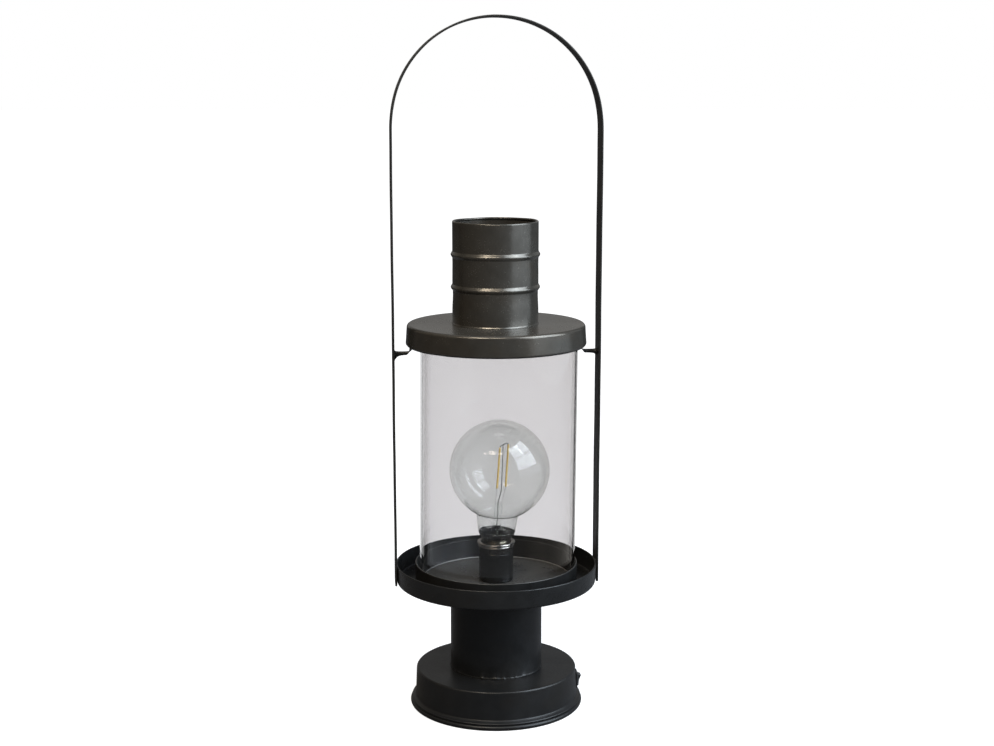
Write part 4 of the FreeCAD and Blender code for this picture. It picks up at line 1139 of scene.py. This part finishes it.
# ---------------------------------------------------------------------------
# Studio: a white surround that the camera sees, a dim room that the metal
# mirrors, a large window to the right and small warm lamps to the left
# ---------------------------------------------------------------------------
def seen(nt):
    """1 for what the camera sees, straight or through glass, and 0 for what the pieces mirror or are lit by."""
    lp = nd(nt, "ShaderNodeLightPath")
    clean = math_(nt, "MULTIPLY", math_(nt, "LESS_THAN", lp.outputs["Glossy Depth"], 0.5), math_(nt, "LESS_THAN", lp.outputs["Diffuse Depth"], 0.5))
    through = math_(nt, "MULTIPLY", lp.outputs["Is Transmission Ray"], clean)
    return math_(nt, "MAXIMUM", lp.outputs["Is Camera Ray"], through, True)


def mirrored(nt, x, y):
    """What clear glass mirrors, by direction: dim towards the front, pale and cool to the left, pale and warm to the right, white behind."""
    r = math_(nt, "SQRT", math_(nt, "ADD", math_(nt, "MULTIPLY", x, x), math_(nt, "MULTIPLY", y, y)))
    back = math_(nt, "DIVIDE", y, math_(nt, "MAXIMUM", r, 0.001))
    side = math_(nt, "DIVIDE", x, math_(nt, "MAXIMUM", r, 0.001))
    rp = nd(nt, "ShaderNodeValToRGB")
    rp.color_ramp.elements[0].position = 0.0
    rp.color_ramp.elements[0].color = (0.36, 0.37, 0.37, 1)
    rp.color_ramp.elements[1].position = 1.0
    rp.color_ramp.elements[1].color = (1, 1, 1, 1)
    for pos, v in ((0.08, 0.42), (0.17, 0.72), (0.36, 0.56), (0.64, 0.52), (0.86, 0.80)):
        e = rp.color_ramp.elements.new(pos)
        e.color = (v, v, v, 1)
    nt.links.new(maprange(nt, back, -1.0, 1.0, 0.0, 1.0), rp.inputs[0])
    tint = mixcol(nt, maprange(nt, side, -0.7, 0.7, 0.0, 1.0), (0.98, 1.06, 1.16), (0.74, 0.70, 0.64))
    tint = mixcol(nt, maprange(nt, back, 0.2, 0.9, 0.0, 1.0), tint, (1.0, 1.0, 1.0))
    m = nd(nt, "ShaderNodeMix", data_type="RGBA", blend_type="MULTIPLY")
    m.inputs["Factor"].default_value = 1.0
    nt.links.new(rp.outputs[0], m.inputs[6])
    nt.links.new(tint, m.inputs[7])
    return m.outputs[2]


world = bpy.data.worlds.new("studio")
scene.world = world
world.use_nodes = True
nt = world.node_tree
nt.nodes.clear()
wo = nd(nt, "ShaderNodeOutputWorld")
tc = nd(nt, "ShaderNodeTexCoord").outputs["Generated"]
sp_ = nd(nt, "ShaderNodeSeparateXYZ")
nt.links.new(tc, sp_.inputs[0])
side = maprange(nt, sp_.outputs[0], -0.6, 0.6, 0.0, 1.0)
tone = mixcol(nt, side, (1.12, 1.0, 0.84), (0.84, 0.95, 1.12))
up = maprange(nt, sp_.outputs[2], -0.3, 0.9, 0.0, 1.0)
rmp = nd(nt, "ShaderNodeValToRGB")
rmp.color_ramp.elements[0].position = 0.0
rmp.color_ramp.elements[0].color = (0.04, 0.04, 0.04, 1)
rmp.color_ramp.elements[1].position = 1.0
rmp.color_ramp.elements[1].color = (0.34, 0.34, 0.34, 1)
e2 = rmp.color_ramp.elements.new(0.30)
e2.color = (0.085, 0.085, 0.085, 1)
nt.links.new(up, rmp.inputs[0])
mul = nd(nt, "ShaderNodeMix", data_type="RGBA", blend_type="MULTIPLY")
mul.inputs["Factor"].default_value = 1.0
nt.links.new(tone, mul.inputs[6])
nt.links.new(rmp.outputs[0], mul.inputs[7])
behind = math_(nt, "MULTIPLY", maprange(nt, sp_.outputs[1], 0.35, 0.85, 0.0, 1.0), math_(nt, "MULTIPLY", maprange(nt, sp_.outputs[2], 0.02, 0.10, 0.0, 1.0), maprange(nt, sp_.outputs[2], 0.24, 0.42, 1.0, 0.0)))
drop = mixcol(nt, behind, mul.outputs[2], (0.32, 0.315, 0.305))
room = nd(nt, "ShaderNodeBackground")
nt.links.new(drop, room.inputs[0])
room.inputs[1].default_value = 1.0
white = nd(nt, "ShaderNodeBackground")
white.inputs[0].default_value = (1, 1, 1, 1)
white.inputs[1].default_value = 1.0
pale = nd(nt, "ShaderNodeBackground")
nt.links.new(mirrored(nt, sp_.outputs[0], sp_.outputs[1]), pale.inputs[0])
pale.inputs[1].default_value = 1.0
m0 = nd(nt, "ShaderNodeMixShader")
nt.links.new(nd(nt, "ShaderNodeLightPath").outputs["Is Singular Ray"], m0.inputs[0])
nt.links.new(room.outputs[0], m0.inputs[1])
nt.links.new(pale.outputs[0], m0.inputs[2])
mx = nd(nt, "ShaderNodeMixShader")
nt.links.new(seen(nt), mx.inputs[0])
nt.links.new(m0.outputs[0], mx.inputs[1])
nt.links.new(white.outputs[0], mx.inputs[2])
nt.links.new(mx.outputs[0], wo.inputs[0])

fm, nt, fo = new_mat("floor")
d1 = nd(nt, "ShaderNodeBsdfDiffuse")
d1.inputs[0].default_value = (0.13, 0.13, 0.135, 1)
d2 = nd(nt, "ShaderNodeBsdfDiffuse")
d2.inputs[0].default_value = (0.35, 0.35, 0.355, 1)
em = nd(nt, "ShaderNodeEmission")
em.inputs[0].default_value = (1, 1, 1, 1)
sx_ = nd(nt, "ShaderNodeSeparateXYZ")
nt.links.new(nd(nt, "ShaderNodeTexCoord").outputs["Object"], sx_.inputs[0])
away = math_(nt, "SQRT", math_(nt, "ADD", math_(nt, "MULTIPLY", sx_.outputs[0], sx_.outputs[0]), math_(nt, "MULTIPLY", sx_.outputs[1], sx_.outputs[1])))
nt.links.new(maprange(nt, away, 0.3, 1.6, 0.86, 1.0), em.inputs[1])
ad = nd(nt, "ShaderNodeAddShader")
nt.links.new(d2.outputs[0], ad.inputs[0])
nt.links.new(em.outputs[0], ad.inputs[1])
em2 = nd(nt, "ShaderNodeEmission")
nt.links.new(mirrored(nt, sx_.outputs[0], sx_.outputs[1]), em2.inputs[0])
m0 = nd(nt, "ShaderNodeMixShader")
nt.links.new(nd(nt, "ShaderNodeLightPath").outputs["Is Singular Ray"], m0.inputs[0])
nt.links.new(d1.outputs[0], m0.inputs[1])
nt.links.new(em2.outputs[0], m0.inputs[2])
mx = nd(nt, "ShaderNodeMixShader")
nt.links.new(seen(nt), mx.inputs[0])
nt.links.new(m0.outputs[0], mx.inputs[1])
nt.links.new(ad.outputs[0], mx.inputs[2])
nt.links.new(mx.outputs[0], fo.inputs[0])
me = bpy.data.meshes.new("floor")
me.from_pydata([(30 * math.cos(TAU * j / 96), 30 * math.sin(TAU * j / 96), 0.0) for j in range(96)], [], [tuple(range(96))])
me.update()
floor = bpy.data.objects.new("floor", me)
scene.collection.objects.link(floor)
floor.data.materials.append(fm)


def lamp(name, az, el, dist, w, h, radiance, colour, target=(0, 0, 0.25)):
    """An area lamp seen from the object az degrees to the right of the front and el up."""
    a = math.radians(-95.0 + az)
    e = math.radians(el)
    d = Vector((math.cos(a) * math.cos(e), math.sin(a) * math.cos(e), math.sin(e)))
    l = bpy.data.lights.new(name, "AREA")
    l.shape = "RECTANGLE"
    l.size, l.size_y = w, h
    l.energy = radiance * 4.0 * w * h
    l.color = colour
    o = bpy.data.objects.new(name, l)
    scene.collection.objects.link(o)
    o.location = Vector(target) + d * dist
    o.rotation_mode = "QUATERNION"
    o.rotation_quaternion = (-d).to_track_quat("-Z", "Y")
    o.visible_camera = False
    return o


# window: two by two panes with bars between them
COOL = (0.80, 0.90, 1.0)
WARM = (1.0, 0.83, 0.63)
for i, (da, de) in enumerate(((-13.5, -13.0), (13.5, -13.0), (-13.5, 13.0), (13.5, 13.0))):
    lamp("window_%d" % i, 68.5 + da, 33.5 + de, 2.2, 0.98, 0.95, 7.2, COOL)
lamp("lamp_a", -25, 49, 2.2, 0.66, 0.34, 27.0, (1.0, 0.88, 0.72))
lamp("lamp_b", 3, 48.5, 2.2, 0.44, 0.18, 24.0, (1.0, 0.88, 0.72))
lamp("lamp_c", -46, 44, 2.2, 0.30, 0.10, 20.0, (1.0, 0.88, 0.72))
lamp("wall", 75, -4, 2.2, 2.6, 0.8, 0.88, COOL)
lamp("top", 10, 82, 2.4, 1.6, 1.6, 0.35, (1, 1, 1))
